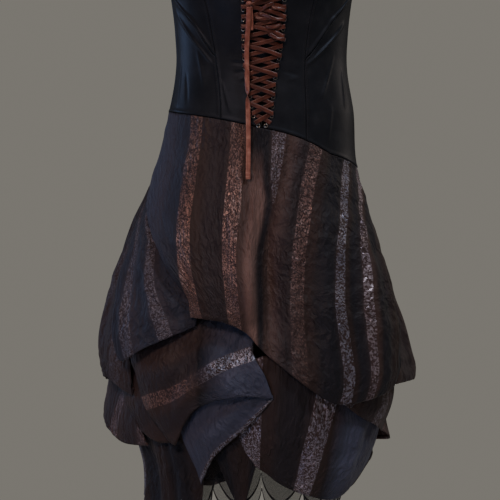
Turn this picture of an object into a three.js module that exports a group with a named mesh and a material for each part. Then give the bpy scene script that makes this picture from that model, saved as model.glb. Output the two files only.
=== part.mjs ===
// A strapless corset dress: a panelled, faux-leather bodice laced at the front, on a low
// slanting seam with a striped taffeta skirt that is caught up in puffs over a net underskirt.
// Millimetres, +Z up. The front faces -Y, and "left" in a name is the side seen on the left
// from the front, -X. The origin is the centre of the waist, where the wearer holds the dress up.
//
// Places on the dress are given as deg, the angle round the body from the centre front (0),
// growing towards +X, with 180 at the centre back; z, the height; and out, the distance
// outwards from the dress's form.

import * as THREE from 'three';

const LEATHER_WALL = 2;
const TAFFETA_WALL = 1.3;
const NET_WALL = 1;
const SEAM_GAP = 0.4;
const SEAM_DEG = 0.1;
const FULL_TURN = 360;
const SEAM_PASSES = 12;

const finishes = {
  leather: { color: 0x1c1e22, roughness: 0.42, metalness: 0 },
  taffeta: { color: 0x2e2a2e, roughness: 0.7, metalness: 0 },
  net: { color: 0x17171a, roughness: 0.9, metalness: 0 },
  satin: { color: 0x7a4a3c, roughness: 0.35, metalness: 0 },
};

// Turns rows of numbers into objects with named columns.
function table(columns, rows) {
  return rows.map((row) => Object.fromEntries(columns.map((name, i) => [name, row[i]])));
}

function mix(a, b, share) {
  return a + (b - a) * share;
}

function clamp01(value) {
  return Math.min(1, Math.max(0, value));
}

// A smooth value through four neighbours, for a share of the way from b to c.
function spline(a, b, c, d, t) {
  const lean = (c - a) / 2;
  const next = (d - b) / 2;
  const rise = c - b;
  return b + lean * t + (3 * rise - 2 * lean - next) * t * t + (lean + next - 2 * rise) * t * t * t;
}

function splineAt(values, place) {
  const last = values.length - 1;
  const i = Math.min(Math.floor(place), last - 1);
  const b = values[i];
  const c = values[i + 1];
  const a = i > 0 ? values[i - 1] : 2 * b - c;
  const d = i + 2 <= last ? values[i + 2] : 2 * c - b;
  return spline(a, b, c, d, place - i);
}

// Looks a column up at a key value, easing between the rows. The keys may rise or fall.
function lookUp(rows, key, column, at) {
  const rising = rows[1][key] > rows[0][key];
  let i = 0;
  while (i < rows.length - 2 && (rising ? at > rows[i + 1][key] : at < rows[i + 1][key])) i += 1;
  const share = clamp01((at - rows[i][key]) / (rows[i + 1][key] - rows[i][key]));
  return splineAt(rows.map((row) => row[column]), i + share);
}

// The dress's form: half widths to the left and right and half depths to the front and back.
const form = table(['z', 'left', 'right', 'front', 'back'], [
  [240, 145, 145, 102, 92],
  [170, 147, 147, 108, 92],
  [106, 137, 137, 104, 91],
  [50, 131, 131, 98, 91],
  [0, 130, 130, 96, 92],
  [-65, 141, 140, 103, 108],
  [-150, 162, 146, 115, 130],
  [-275, 212, 179, 138, 160],
  [-350, 236, 201, 152, 182],
  [-410, 250, 221, 160, 196],
  [-470, 244, 233, 166, 200],
  [-540, 236, 204, 162, 194],
  [-600, 200, 182, 154, 182],
  [-660, 180, 162, 148, 172],
  [-720, 172, 154, 144, 166],
]);

// The cups of the bodice, pushed out from the form.
const cups = table(['deg', 'z', 'wideDeg', 'tall', 'out'], [
  [-40, 150, 25, 50, 16],
  [40, 150, 25, 50, 16],
]);

function cupOut(deg, z) {
  return cups.reduce((sum, cup) => {
    const across = (deg - cup.deg) / cup.wideDeg;
    const along = (z - cup.z) / cup.tall;
    return sum + cup.out * Math.exp(-across * across - along * along);
  }, 0);
}

function formPoint(deg, z, out) {
  const angle = THREE.MathUtils.degToRad(deg);
  const side = Math.sin(angle);
  const ahead = Math.cos(angle);
  const reach = out + (z > 0 ? cupOut(deg, z) : 0);
  const halfWidth = lookUp(form, 'z', side < 0 ? 'left' : 'right', z) + reach;
  const halfDepth = lookUp(form, 'z', ahead > 0 ? 'front' : 'back', z) + reach;
  return new THREE.Vector3(halfWidth * side, -halfDepth * ahead, z);
}

// The slanting seam between bodice and skirt, high on the left hip and low on the right.
const hipSeam = table(['deg', 'z'], [
  [-180, -112],
  [-135, -84],
  [-90, -65],
  [-50, -71],
  [-30, -78],
  [-10, -88],
  [13, -100],
  [28, -112],
  [46, -131],
  [90, -149],
  [135, -140],
  [180, -112],
]);

function wrapped(deg) {
  if (deg > 180) return deg - FULL_TURN;
  return deg < -180 ? deg + FULL_TURN : deg;
}

function hipSeamZ(deg) {
  return lookUp(hipSeam, 'deg', 'z', wrapped(deg));
}

// The top edge: low at the laced centre, high over the cups, level at the back.
const neckline = table(['deg', 'z'], [
  [0, 130],
  [10, 146],
  [22, 178],
  [38, 200],
  [58, 196],
  [82, 180],
  [120, 168],
  [180, 164],
]);

function necklineZ(deg) {
  return lookUp(neckline, 'deg', 'z', Math.abs(deg));
}

// Seams of the bodice that run down it, in degrees at some heights.
const bodiceSeams = table(['z', 'leftPrincess', 'rightPrincess', 'side', 'backSide'], [
  [240, -38, 35, 82, 128],
  [106, -37, 34, 82, 128],
  [12, -32, 30, 81, 128],
  [-70, -25.5, 28, 81, 128],
  [-150, -25, 28, 81, 128],
]);

// The edges of the laced opening, in millimetres from the centre plane.
const opening = table(['z', 'left', 'right'], [
  [140, -24.5, 32],
  [106, -24, 30],
  [55, -24, 28],
  [12, -22.5, 22.5],
  [-14, -20, 17],
  [-46, -14.5, 13.5],
  [-76, -9, 11],
  [-89, -6, 9],
  [-91, -0.6, 0.6],
  [-120, -0.5, 0.5],
]);

function openingDeg(z, edge) {
  const halfWidth = lookUp(form, 'z', 'right', z);
  return THREE.MathUtils.radToDeg(Math.asin(lookUp(opening, 'z', edge, z) / halfWidth));
}

// The slanted seam under each cup, by its angle from the centre front.
const cupSeam = table(['deg', 'z'], [
  [25, 4],
  [31, 12],
  [49, 61],
  [73, 106],
  [83, 120],
]);

function cupSeamZ(deg) {
  return lookUp(cupSeam, 'deg', 'z', Math.abs(deg));
}

// A closed wall: a grid of outer points, the same grid moved in along its normals, and the rim.
function wall(across, down, thickness, point) {
  const step = 0.002;
  const outer = [];
  const inner = [];
  for (let j = 0; j <= down; j += 1) {
    for (let i = 0; i <= across; i += 1) {
      const u = i / across;
      const v = j / down;
      const here = point(u, v);
      const alongU = point(Math.min(1, u + step), v).sub(point(Math.max(0, u - step), v));
      const alongV = point(u, Math.min(1, v + step)).sub(point(u, Math.max(0, v - step)));
      const normal = alongV.cross(alongU).normalize();
      outer.push(here);
      inner.push(here.clone().addScaledVector(normal, -thickness));
    }
  }
  const corners = [...outer, ...inner];
  const index = [];
  const wide = across + 1;
  const shift = outer.length;
  const quad = (a, b, c, d) => index.push(a, b, c, a, c, d);
  for (let j = 0; j < down; j += 1) {
    for (let i = 0; i < across; i += 1) {
      const a = j * wide + i;
      quad(a, a + wide, a + wide + 1, a + 1);
      quad(shift + a, shift + a + 1, shift + a + wide + 1, shift + a + wide);
    }
  }
  for (let i = 0; i < across; i += 1) {
    const low = down * wide + i;
    quad(i, i + 1, shift + i + 1, shift + i);
    quad(low + 1, low, shift + low, shift + low + 1);
  }
  for (let j = 0; j < down; j += 1) {
    const left = j * wide;
    const right = left + across;
    quad(left + wide, left, shift + left, shift + left + wide);
    quad(right, right + wide, shift + right + wide, shift + right);
  }
  const geometry = new THREE.BufferGeometry();
  geometry.setAttribute('position', new THREE.Float32BufferAttribute(corners.flatMap((p) => p.toArray()), 3));
  geometry.setIndex(index);
  geometry.computeVertexNormals();
  return geometry;
}

const dress = new THREE.Group();
dress.name = 'corset_dress';

function add(name, geometry, finish) {
  const mesh = new THREE.Mesh(geometry, new THREE.MeshStandardMaterial(finishes[finish]));
  mesh.name = name;
  dress.add(mesh);
}

// A bodice panel between two seams, from an upper line to a lower one.
function bodicePanel(name, across, down, edges, topZ, bottomZ) {
  const point = (u, v) => {
    let deg = mix(edges.left(0), edges.right(0), u);
    let z = 0;
    for (let pass = 0; pass < SEAM_PASSES; pass += 1) {
      z = mix(topZ(deg), bottomZ(deg), v);
      deg = mix(edges.left(z) + SEAM_DEG, edges.right(z) - SEAM_DEG, u);
    }
    return formPoint(deg, z, 0);
  };
  add(name, wall(across, down, LEATHER_WALL, point), 'leather');
}

function seamLine(column, turn = 1) {
  return (z) => turn * lookUp(bodiceSeams, 'z', column, z);
}

function bodice() {
  const leftOpening = (z) => openingDeg(z, 'left');
  const rightOpening = (z) => openingDeg(z, 'right');
  const leftPrincess = seamLine('leftPrincess');
  const rightPrincess = seamLine('rightPrincess');
  const aboveHip = (deg) => hipSeamZ(deg) + SEAM_GAP;
  const aboveCupSeam = (deg) => cupSeamZ(deg) + SEAM_GAP;
  const belowCupSeam = (deg) => cupSeamZ(deg) - SEAM_GAP;
  const back = (turn) => () => turn * 180;
  bodicePanel('centre_front_left', 4, 15, { left: leftPrincess, right: leftOpening }, necklineZ, aboveHip);
  bodicePanel('centre_front_right', 4, 15, { left: rightOpening, right: rightPrincess }, necklineZ, aboveHip);
  bodicePanel('cup_left', 8, 7, { left: seamLine('side', -1), right: leftPrincess }, necklineZ, aboveCupSeam);
  bodicePanel('cup_right', 8, 7, { left: rightPrincess, right: seamLine('side') }, necklineZ, aboveCupSeam);
  bodicePanel('side_front_left', 8, 7, { left: seamLine('side', -1), right: leftPrincess }, belowCupSeam, aboveHip);
  bodicePanel('side_front_right', 8, 7, { left: rightPrincess, right: seamLine('side') }, belowCupSeam, aboveHip);
  bodicePanel('side_back_left', 5, 7, { left: seamLine('backSide', -1), right: seamLine('side', -1) }, necklineZ, aboveHip);
  bodicePanel('side_back_right', 5, 7, { left: seamLine('side'), right: seamLine('backSide') }, necklineZ, aboveHip);
  bodicePanel('back_left', 6, 7, { left: back(-1), right: seamLine('backSide', -1) }, necklineZ, aboveHip);
  bodicePanel('back_right', 6, 7, { left: seamLine('backSide'), right: back(1) }, necklineZ, aboveHip);
}

// The plain panel behind the lacing, just inside the front.
const modesty = { halfDeg: 20, in: 3.2, neckDeg: 8, belowNeck: 6, bottom: -84, narrow: 0.45 };

function modestyPanel() {
  const point = (u, v) => {
    const z = mix(necklineZ(modesty.neckDeg) - modesty.belowNeck, modesty.bottom, v);
    const half = modesty.halfDeg * mix(1, modesty.narrow, v * v);
    return formPoint(mix(-half, half, u), z, -modesty.in);
  };
  add('modesty_panel', wall(6, 8, LEATHER_WALL / 2, point), 'leather');
}

// The flat satin lace. Each lace crosses the opening between one row of eyelets and the next,
// and its strands take turns to lie higher and lower so that none runs into another.
const lacing = {
  rows: 15,
  topZ: 113.6,
  pitch: 14.3,
  width: 6.6,
  thick: 0.45,
  level: 1.5,
  lift: 1.2,
  margin: 3.4,
  turn: 1.6,
};

// A ribbon along a route. The axis gives the way its width lies, from the way it runs.
function ribbon(route, width, thick, axis) {
  const corners = [];
  const index = [];
  route.forEach((here, i) => {
    const before = route[Math.max(0, i - 1)];
    const after = route[Math.min(route.length - 1, i + 1)];
    const along = after.clone().sub(before).normalize();
    const across = axis(along).normalize();
    const face = along.clone().cross(across).normalize();
    for (const [w, h] of [[-1, -1], [1, -1], [1, 1], [-1, 1]]) {
      corners.push(here.clone()
        .addScaledVector(across, (w * width) / 2)
        .addScaledVector(face, (h * thick) / 2));
    }
  });
  for (let i = 0; i < route.length - 1; i += 1) {
    for (let k = 0; k < 4; k += 1) {
      const a = i * 4 + k;
      const b = i * 4 + ((k + 1) % 4);
      index.push(a, b, b + 4, a, b + 4, a + 4);
    }
  }
  const end = (route.length - 1) * 4;
  index.push(0, 3, 2, 0, 2, 1);
  index.push(end, end + 1, end + 2, end, end + 2, end + 3);
  const geometry = new THREE.BufferGeometry();
  geometry.setAttribute('position', new THREE.Float32BufferAttribute(corners.flatMap((p) => p.toArray()), 3));
  geometry.setIndex(index);
  geometry.computeVertexNormals();
  return geometry;
}

const upright = () => new THREE.Vector3(0, 0, 1);
const facingFront = (along) => along.clone().cross(new THREE.Vector3(0, -1, 0));

function openingPoint(share, z, out) {
  const margin = lacing.margin / lookUp(form, 'z', 'right', z) * (180 / Math.PI);
  const left = openingDeg(z, 'left') - margin;
  const right = openingDeg(z, 'right') + margin;
  return formPoint(mix(left, right, share), z, out);
}

function laceRoute(startsLeft, levels) {
  const route = [];
  const shares = [0, 0.3, 0.7, 1];
  for (let row = 0; row < lacing.rows - 1; row += 1) {
    const toRight = (row % 2 === 0) === startsLeft;
    const out = lacing.lift + lacing.level * levels[row % 2];
    const next = lacing.lift + lacing.level * levels[(row + 1) % 2];
    for (const share of shares) {
      const z = lacing.topZ - lacing.pitch * (row + share);
      route.push(openingPoint(toRight ? share : 1 - share, z, out));
    }
    if (row < lacing.rows - 2) {
      const z = lacing.topZ - lacing.pitch * (row + 1);
      const middle = (out + next) / 2;
      const turn = openingPoint(toRight ? 1 : 0, z, middle);
      turn.x += toRight ? lacing.turn : -lacing.turn;
      route.push(turn);
    }
  }
  return route;
}

function laces() {
  add('lace_over', ribbon(laceRoute(true, [3.2, 1.1]), lacing.width, lacing.thick, upright), 'satin');
  add('lace_under', ribbon(laceRoute(false, [2.15, 0.05]), lacing.width, lacing.thick, upright), 'satin');
}

// The knot of the two lace ends, and what hangs from it.
const knot = { x: -17.5, z: 89, out: 11.5, wide: 9, tall: 8.5, deep: 6 };
const tails = {
  width: 7,
  shortWidth: 5.6,
  thick: 0.7,
  long: table(['x', 'z', 'out'], [
    [-17.6, 84.2, 13],
    [-18.4, 60, 12.5],
    [-20.6, 20, 11],
    [-20, -30, 10],
    [-18.8, -75, 9],
    [-17.6, -120, 9],
    [-17.2, -158, 10],
    [-17, -170, 10],
  ]),
  short: table(['x', 'z', 'out'], [
    [-15.6, 84.4, 11],
    [-14.8, 74, 10],
    [-14.2, 60, 9],
    [-14.6, 50, 9],
  ]),
};

// Each lace end runs from the knot up to the top eyelet on its side.
const laceEnd = { width: 6, aboveKnot: 3.4, eyeletOut: 1.5 };
const laceEnds = table(['name', 'fromX', 'toX', 'toZ'], [
  ['lace_end_left', -21.2, -38, 124],
  ['lace_end_right', -14.2, 43, 124],
]);

function frontPoint(x, z, out) {
  const half = lookUp(form, 'z', 'right', z);
  return formPoint(THREE.MathUtils.radToDeg(Math.asin(x / half)), z, out);
}

// A smooth ribbon through some points, its flat side towards the front.
function hangingRibbon(points, width, thick, steps) {
  return ribbon(new THREE.CatmullRomCurve3(points).getPoints(steps), width, thick, facingFront);
}

function knotAndTails() {
  const ball = new THREE.SphereGeometry(0.5, 12, 8);
  ball.scale(knot.wide, knot.deep, knot.tall);
  const centre = frontPoint(knot.x, knot.z, knot.out);
  ball.translate(centre.x, centre.y, centre.z);
  add('lace_knot', ball, 'satin');
  const route = (rows) => rows.map((row) => frontPoint(row.x, row.z, row.out));
  add('lace_tail_long', hangingRibbon(route(tails.long), tails.width, tails.thick, 26), 'satin');
  add('lace_tail_short', hangingRibbon(route(tails.short), tails.shortWidth, tails.thick, 6), 'satin');
  for (const end of laceEnds) {
    const fromZ = knot.z + laceEnd.aboveKnot;
    const start = frontPoint(end.fromX, fromZ, knot.out);
    const middle = frontPoint(mix(end.fromX, end.toX, 0.5), mix(fromZ, end.toZ, 0.5), knot.out);
    const finish = frontPoint(end.toX, end.toZ, laceEnd.eyeletOut);
    add(end.name, hangingRibbon([start, middle, finish], laceEnd.width, tails.thick, 6), 'satin');
  }
}

const foldColumns = ['topDeg', 'topZ', 'bottomDeg', 'bottomZ', 'wideDeg', 'out'];

// Each skirt piece is a net: a row for each level from its top edge to its hem, and in each row
// the places of a few stations from its left edge to its right, as deg, z and out. A level with
// seam: true starts at the slanting seam. The hem turns under by the lip.
const seamOff = 0.7;
const skirt = [
  {
    name: 'front_drape',
    grid: [30, 13],
    lip: { in: 6, up: 5 },
    levels: [
      { seam: true, deg: [-91, -55, -24, -6, 6, 36, 74, 86], out: [0, 0, 0, 0, 0, 0, 0, -1] },
      { deg: [-84, -52, -24, -6, 4, 34, 70, 81], z: [-165, -168, -174, -178, -182, -190, -205, -206],
        out: [0, 2, 5, 4, 0, 3, 2, -1] },
      { deg: [-54, -38, -20, -6, 2, 30, 68, 78], z: [-250, -262, -270, -275, -280, -290, -290, -290],
        out: [-1, 6, 10, 18, -9, 5, 6, -2] },
      { deg: [-30, -22, -13, -4, 3, 28, 62, 71], z: [-332, -342, -348, -345, -350, -372, -376, -372],
        out: [-1, 8, 12, 22, -14, 4, 9, -2] },
      { deg: [-26, -19, -12, -5, 3, 28, 54, 61], z: [-370, -374, -379, -393, -426, -490, -476, -460],
        out: [0, 6, 9, 6, -4, 2, 6, -3] },
    ],
    folds: table(foldColumns, [
      [-44, -120, -20, -370, 7, 4],
      [-12, -150, -7, -400, 4, 5],
      [18, -140, 10, -440, 5, 5],
      [34, -170, 24, -500, 6, 5],
      [60, -190, 46, -500, 6, 6],
      [74, -170, 58, -470, 5, 7],
    ]),
  },
  {
    name: 'left_puff',
    grid: [10, 10],
    lip: { in: 5, up: 5 },
    levels: [
      { deg: [-84, -70, -52, -34], z: [-156, -188, -224, -262], out: [-2.8, -7, -9, -10] },
      { deg: [-77, -66, -48, -28], z: [-256, -266, -280, -300], out: [-5, 1, -4, -10] },
      { deg: [-69, -60, -43, -24], z: [-330, -335, -345, -350], out: [-5, 5, 4, -10] },
      { deg: [-62, -56, -40, -24], z: [-412, -432, -410, -384], out: [-6, 3, 5, -8] },
    ],
    folds: table(foldColumns, [
      [-70, -230, -58, -440, 5, 5],
      [-54, -260, -34, -420, 5, 6],
    ]),
  },
  {
    name: 'rear_left_puff',
    grid: [12, 9],
    lip: { in: 5, up: 5 },
    levels: [
      { seam: true, deg: [-149.88, -125, -106, -95, -84], out: [0, 0, 0, -2, -7] },
      { deg: [-149.88, -125, -106, -91, -70], z: [-190, -190, -190, -190, -190], out: [4, 6, -1, -4, -18] },
      { deg: [-149.88, -128, -106, -88, -60], z: [-290, -292, -290, -288, -290], out: [6, 8, -4, -7, -21] },
      { deg: [-149.88, -130, -106, -86, -58], z: [-366, -380, -385, -375, -380], out: [4, 10, -2, -6, -20] },
      { deg: [-149.88, -132, -108, -84, -60], z: [-418, -452, -468, -460, -484], out: [-2, 6, 0, -8, -19] },
    ],
    folds: table(foldColumns, [
      [-142, -110, -142, -420, 5, 6],
      [-128, -120, -130, -460, 6, 9],
      [-112, -110, -112, -480, 6, 6],
      [-96, -130, -94, -470, 5, 5],
    ]),
  },
  {
    name: 'back_puff',
    grid: [11, 9],
    lip: { in: 5, up: 5 },
    levels: [
      { seam: true, deg: [-209.88, -195, -180, -165, -150.12], out: [0, 0, 0, 0, 0] },
      { deg: [-209.88, -195, -180, -165, -150.12], z: [-190, -190, -190, -190, -190], out: [4, 7, 9, 7, 4] },
      { deg: [-209.88, -195, -180, -165, -150.12], z: [-290, -292, -294, -292, -290], out: [6, 14, 18, 14, 6] },
      { deg: [-209.88, -195, -180, -165, -150.12], z: [-364, -380, -388, -380, -366], out: [4, 15, 21, 15, 4] },
      { deg: [-209.88, -195, -180, -165, -150.12], z: [-414, -446, -460, -446, -418], out: [-2, 8, 12, 8, -2] },
    ],
    folds: table(foldColumns, [
      [-200, -130, -201, -440, 5, 7],
      [-187, -120, -188, -460, 5, 9],
      [-173, -120, -172, -460, 5, 9],
      [-160, -130, -159, -440, 5, 7],
    ]),
  },
  {
    name: 'rear_right_puff',
    grid: [12, 9],
    lip: { in: 5, up: 5 },
    levels: [
      { seam: true, deg: [80, 94, 110, 130, 149.88], out: [-8, -1, 0, 0, 0] },
      { deg: [68, 92, 108, 128, 149.88], z: [-195, -195, -192, -190, -190], out: [-17, -4, -3, 2, 4] },
      { deg: [60, 88, 106, 128, 149.88], z: [-290, -290, -290, -290, -290], out: [-19, -5, -4, 6, 6] },
      { deg: [54, 86, 106, 128, 149.88], z: [-380, -380, -380, -378, -364], out: [-19, -3, 0, 8, 4] },
      { deg: [58, 82, 106, 130, 149.88], z: [-470, -464, -467, -450, -414], out: [-14, -1, 2, 6, -2] },
    ],
    folds: table(foldColumns, [
      [88, -170, 84, -470, 5, 5],
      [102, -150, 100, -480, 6, 6],
      [118, -150, 120, -470, 6, 8],
      [136, -150, 138, -440, 5, 7],
    ]),
  },
  {
    name: 'left_flap',
    grid: [13, 10],
    lip: { in: 3, up: 3 },
    levels: [
      { deg: [-58, -44, -28, -12, -2], z: [-420, -396, -372, -374, -386], out: [-18.4, -17, -17, -15, -14] },
      { deg: [-57, -46, -30, -14, -3], z: [-446, -438, -428, -422, -424], out: [-18, -10, -9, -7, -10] },
      { deg: [-50, -42, -29, -13, 1], z: [-500, -496, -478, -460, -456], out: [-14, -7, -5, -2, -6] },
      { deg: [-42, -36, -24, -9, 4], z: [-536, -556, -504, -486, -488], out: [-14, -8, -5, -3, -7] },
    ],
    folds: table(foldColumns, [
      [-40, -400, -26, -520, 5, 4],
      [-22, -390, -8, -500, 5, 5],
    ]),
  },
  {
    name: 'turned_hem',
    grid: [10, 7],
    lip: { in: 2, up: 3 },
    levels: [
      { deg: [-33, -22, -9, 2], z: [-492, -482, -468, -476], out: [-19, -17, -15, -10] },
      { deg: [-33, -24, -12, 2], z: [-546, -534, -506, -484], out: [-17, -12, -11, -10] },
      { deg: [-31, -21, -7, 4], z: [-615, -577, -535, -492], out: [-17, -11, -10, -11] },
    ],
  },
  {
    name: 'left_band',
    grid: [8, 7],
    lip: { in: 2, up: 3 },
    levels: [
      { deg: [-76, -66, -54, -44], z: [-446, -436, -430, -440], out: [-30.1, -30, -28, -28] },
      { deg: [-74, -64, -52, -42], z: [-494, -490, -490, -500], out: [-29, -24.8, -23, -27] },
      { deg: [-62, -55, -47, -37], z: [-520, -544, -555, -552], out: [-23, -19, -19, -25] },
    ],
  },
  {
    name: 'rear_left_flap',
    grid: [12, 7],
    lip: { in: 2, up: 3 },
    levels: [
      { deg: [-131.88, -112, -96, -80, -66], z: [-420, -430, -440, -450, -470], out: [-20, -12, -13, -36, -38] },
      { deg: [-131.88, -112, -95, -80, -62], z: [-480, -480, -485, -495, -505], out: [-8, -10, -10, -30, -35] },
      { deg: [-131.88, -112, -92, -80, -60], z: [-540, -530, -534, -560, -564], out: [-4, -4, 0, -10, -27] },
    ],
    folds: table(foldColumns, [
      [-118, -450, -118, -560, 6, 6],
      [-102, -460, -100, -560, 5, 6],
    ]),
  },
  {
    name: 'left_fall',
    grid: [14, 8],
    lip: { in: 1, up: 1 },
    levels: [
      { deg: [-76, -62, -46, -28], z: [-530, -528, -525, -520], out: [-45.8, -43, -38, -31] },
      { deg: [-82, -64, -47, -29], z: [-600, -604, -600, -594], out: [-20, -24, -18, -25] },
      { deg: [-79, -62, -48, -32], z: [-640, -664, -670, -650], out: [-4, -6, -8, -16] },
    ],
    folds: table(foldColumns, [
      [-68, -540, -72, -700, 4, 6],
      [-54, -540, -56, -700, 4, 7],
      [-40, -540, -42, -700, 3.5, 7],
    ]),
  },
  {
    name: 'front_fall',
    grid: [9, 6],
    lip: { in: 1, up: 1 },
    levels: [
      { deg: [-24, -16, -8, 3], z: [-510, -505, -500, -500], out: [-29, -29, -26, -22] },
      { deg: [-22, -16, -8, 0], z: [-570, -570, -570, -560], out: [-27, -25, -23, -22] },
      { deg: [-20, -14, -9, -5], z: [-600, -638, -640, -612], out: [-27, -24, -22.8, -24] },
    ],
  },
  {
    name: 'front_panel',
    grid: [16, 11],
    lip: { in: 3, up: 3 },
    levels: [
      { deg: [-10, 8, 28, 48, 64], z: [-440, -425, -450, -456, -466], out: [-21, -9.5, -18, -20, -27] },
      { deg: [-9, 8, 30, 53, 70], z: [-545, -545, -545, -545, -540], out: [-21, -14, -10, -12, -16] },
      { deg: [-4, 8, 28, 52, 72], z: [-585, -592, -598, -596, -580], out: [-20, -11, -6, -8, -16] },
      { deg: [1, 10, 25, 44, 64], z: [-598, -616, -632, -638, -606], out: [-18, -12, -8, -8, -14] },
    ],
    folds: table(foldColumns, [
      [4, -500, 6, -640, 5, 5],
      [26, -500, 24, -660, 6, 5],
      [50, -500, 46, -660, 6, 6],
    ]),
  },
  {
    name: 'right_fold',
    grid: [9, 5],
    lip: { in: 2, up: 2 },
    levels: [
      { deg: [32, 44, 58, 70], z: [-480, -478, -470, -466], out: [-8, -13.3, -21.4, -22.3] },
      { deg: [32, 44, 57, 68], z: [-488, -498, -504, -510], out: [-6.5, -8, -6, -10] },
      { deg: [31, 43, 56, 68], z: [-494, -517, -532, -544], out: [-7.5, -6, -5, -9] },
    ],
  },
  {
    name: 'right_flap',
    grid: [9, 6],
    lip: { in: 3, up: 3 },
    levels: [
      { deg: [74, 84, 96, 111.88], z: [-452, -450, -450, -448], out: [-36, -38, -38, -38] },
      { deg: [74, 84, 96, 111.88], z: [-500, -500, -500, -500], out: [-32, -34, -34, -34] },
      { deg: [75, 86, 96, 111.88], z: [-542, -554, -560, -564], out: [-17, -5, -4, -10] },
    ],
  },
  {
    name: 'right_under_flap',
    grid: [9, 6],
    lip: { in: 1, up: 1 },
    levels: [
      { deg: [58, 70, 84, 100], z: [-525, -525, -525, -525], out: [-16.6, -36, -40, -40] },
      { deg: [60, 71, 84, 100], z: [-575, -570, -560, -560], out: [-18.6, -30, -32, -33] },
      { deg: [60, 70, 80, 96], z: [-634, -610, -588, -572], out: [-26, -22, -20, -24] },
    ],
  },
  {
    name: 'lower_back_left',
    grid: [11, 8],
    lip: { in: 3, up: 3 },
    levels: [
      { deg: [-179.88, -164, -148, -132.12], z: [-400, -398, -396, -410], out: [-14, -13, -8.5, -18] },
      { deg: [-179.88, -164, -148, -132.12], z: [-480, -480, -480, -480], out: [-6, -3, -3, -8] },
      { deg: [-179.88, -164, -148, -132.12], z: [-560, -562, -562, -556], out: [-6, 2, 2, -4] },
      { deg: [-179.88, -164, -148, -132.12], z: [-596, -634, -640, -604], out: [-10, -2, -2, -8] },
    ],
    folds: table(foldColumns, [
      [-168, -450, -166, -640, 5, 7],
      [-150, -450, -150, -660, 6, 8],
    ]),
  },
  {
    name: 'lower_back_right',
    grid: [13, 8],
    lip: { in: 3, up: 3 },
    levels: [
      { deg: [112.12, 134, 157, 179.88], z: [-410, -396, -396, -400], out: [-36, -13, -7.8, -14] },
      { deg: [112.12, 134, 157, 179.88], z: [-480, -480, -480, -480], out: [-32, -9, -3, -6] },
      { deg: [112.12, 134, 157, 179.88], z: [-552, -562, -562, -560], out: [-16, 0, 2, -6] },
      { deg: [112.12, 134, 157, 179.88], z: [-588, -636, -640, -596], out: [-16, -4, -2, -10] },
    ],
    folds: table(foldColumns, [
      [128, -450, 126, -650, 5, 7],
      [146, -450, 146, -660, 6, 8],
      [166, -450, 165, -640, 5, 7],
    ]),
  },
];

// How far a fold lifts the cloth at a place: a soft ridge that fades at both ends.
function foldOut(folds, deg, z) {
  return folds.reduce((sum, fold) => {
    const along = clamp01((fold.topZ - z) / (fold.topZ - fold.bottomZ));
    const across = (deg - mix(fold.topDeg, fold.bottomDeg, along)) / fold.wideDeg;
    return sum + fold.out * Math.sin(Math.PI * along) * Math.exp(-across * across);
  }, 0);
}

function netLevels(piece) {
  const levels = piece.levels.map((level) => ({
    deg: level.deg,
    z: level.seam ? level.deg.map((deg) => hipSeamZ(deg) - seamOff) : level.z,
    out: level.out,
  }));
  const hem = levels[levels.length - 1];
  levels.push({
    deg: hem.deg,
    z: hem.z.map((z) => z + piece.lip.up),
    out: hem.out.map((out) => out - piece.lip.in),
  });
  return levels;
}

// The lip takes the last share of the way down, so the rest keeps its spacing.
const LIP_SHARE = 0.08;

function netPlace(levels, v) {
  const body = levels.length - 2;
  return v < 1 - LIP_SHARE ? (v / (1 - LIP_SHARE)) * body : body + (v - 1 + LIP_SHARE) / LIP_SHARE;
}

// Keeps the top edge on the slanting seam between the stations, fading out by the next level.
function seamFit(piece, levels, deg, station, place) {
  if (!piece.levels[0].seam || place >= 1) return 0;
  return (hipSeamZ(deg) - seamOff - splineAt(levels[0].z, station)) * (1 - place);
}

function skirtPiece(piece) {
  const levels = netLevels(piece);
  const stations = levels[0].deg.length - 1;
  const value = (column, u, v) => {
    const place = netPlace(levels, v);
    return splineAt(levels.map((level) => splineAt(level[column], u * stations)), place);
  };
  const point = (u, v) => {
    const deg = value('deg', u, v);
    const z = value('z', u, v) + seamFit(piece, levels, deg, u * stations, netPlace(levels, v));
    return formPoint(deg, z, value('out', u, v) + foldOut(piece.folds ?? [], deg, z));
  };
  add(piece.name, wall(piece.grid[0], piece.grid[1], TAFFETA_WALL, point), 'taffeta');
}

// The net underskirt: a half for the front and one for the back, with a petal hem.
const net = { topUp: 6, crowd: 2, hemZ: -618, petals: 12, petal: 52 };

// How far inside the form the net hangs, by the distance below its top edge.
const netHang = table(['below', 'in'], [
  [0, 5.1],
  [6, 11],
  [40, 20],
  [60, 24],
  [240, 44],
  [640, 46],
]);

function netHemZ(deg) {
  const turn = ((deg + FULL_TURN) % FULL_TURN) / FULL_TURN;
  const petal = Math.abs(Math.sin(Math.PI * net.petals * turn));
  return net.hemZ - net.petal * Math.sqrt(petal);
}

function underskirt(name, fromDeg, toDeg) {
  const point = (u, v) => {
    const deg = mix(fromDeg, toDeg, u);
    const top = hipSeamZ(deg) + net.topUp;
    const z = mix(top, netHemZ(deg), v ** net.crowd);
    return formPoint(deg, z, -lookUp(netHang, 'below', 'in', top - z));
  };
  add(name, wall(24, 9, NET_WALL, point), 'net');
}

bodice();
modestyPanel();
laces();
knotAndTails();
skirt.forEach(skirtPiece);
underskirt('underskirt_front', -89.8, 89.8);
underskirt('underskirt_back', 90.2, 269.8);

export default dress;
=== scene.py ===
# %% [markdown]
# A corset dress, worn and filled out. On the real one a panelled bodice of coated faux leather,
# laced at the front with copper satin ribbon, is sewn along a slanting low waist to a skirt of
# crinkled taffeta with metallic stripes. The skirt is caught up in puffs, so its striped cloth
# turns every way, and a sheer petal-hemmed underskirt shows below it.
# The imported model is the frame: its nodes say where each piece is, and the pieces made here
# take their places. Sizes in this script are millimetres until a mesh is filled, in metres.

# %% Load the frame
import math

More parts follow.
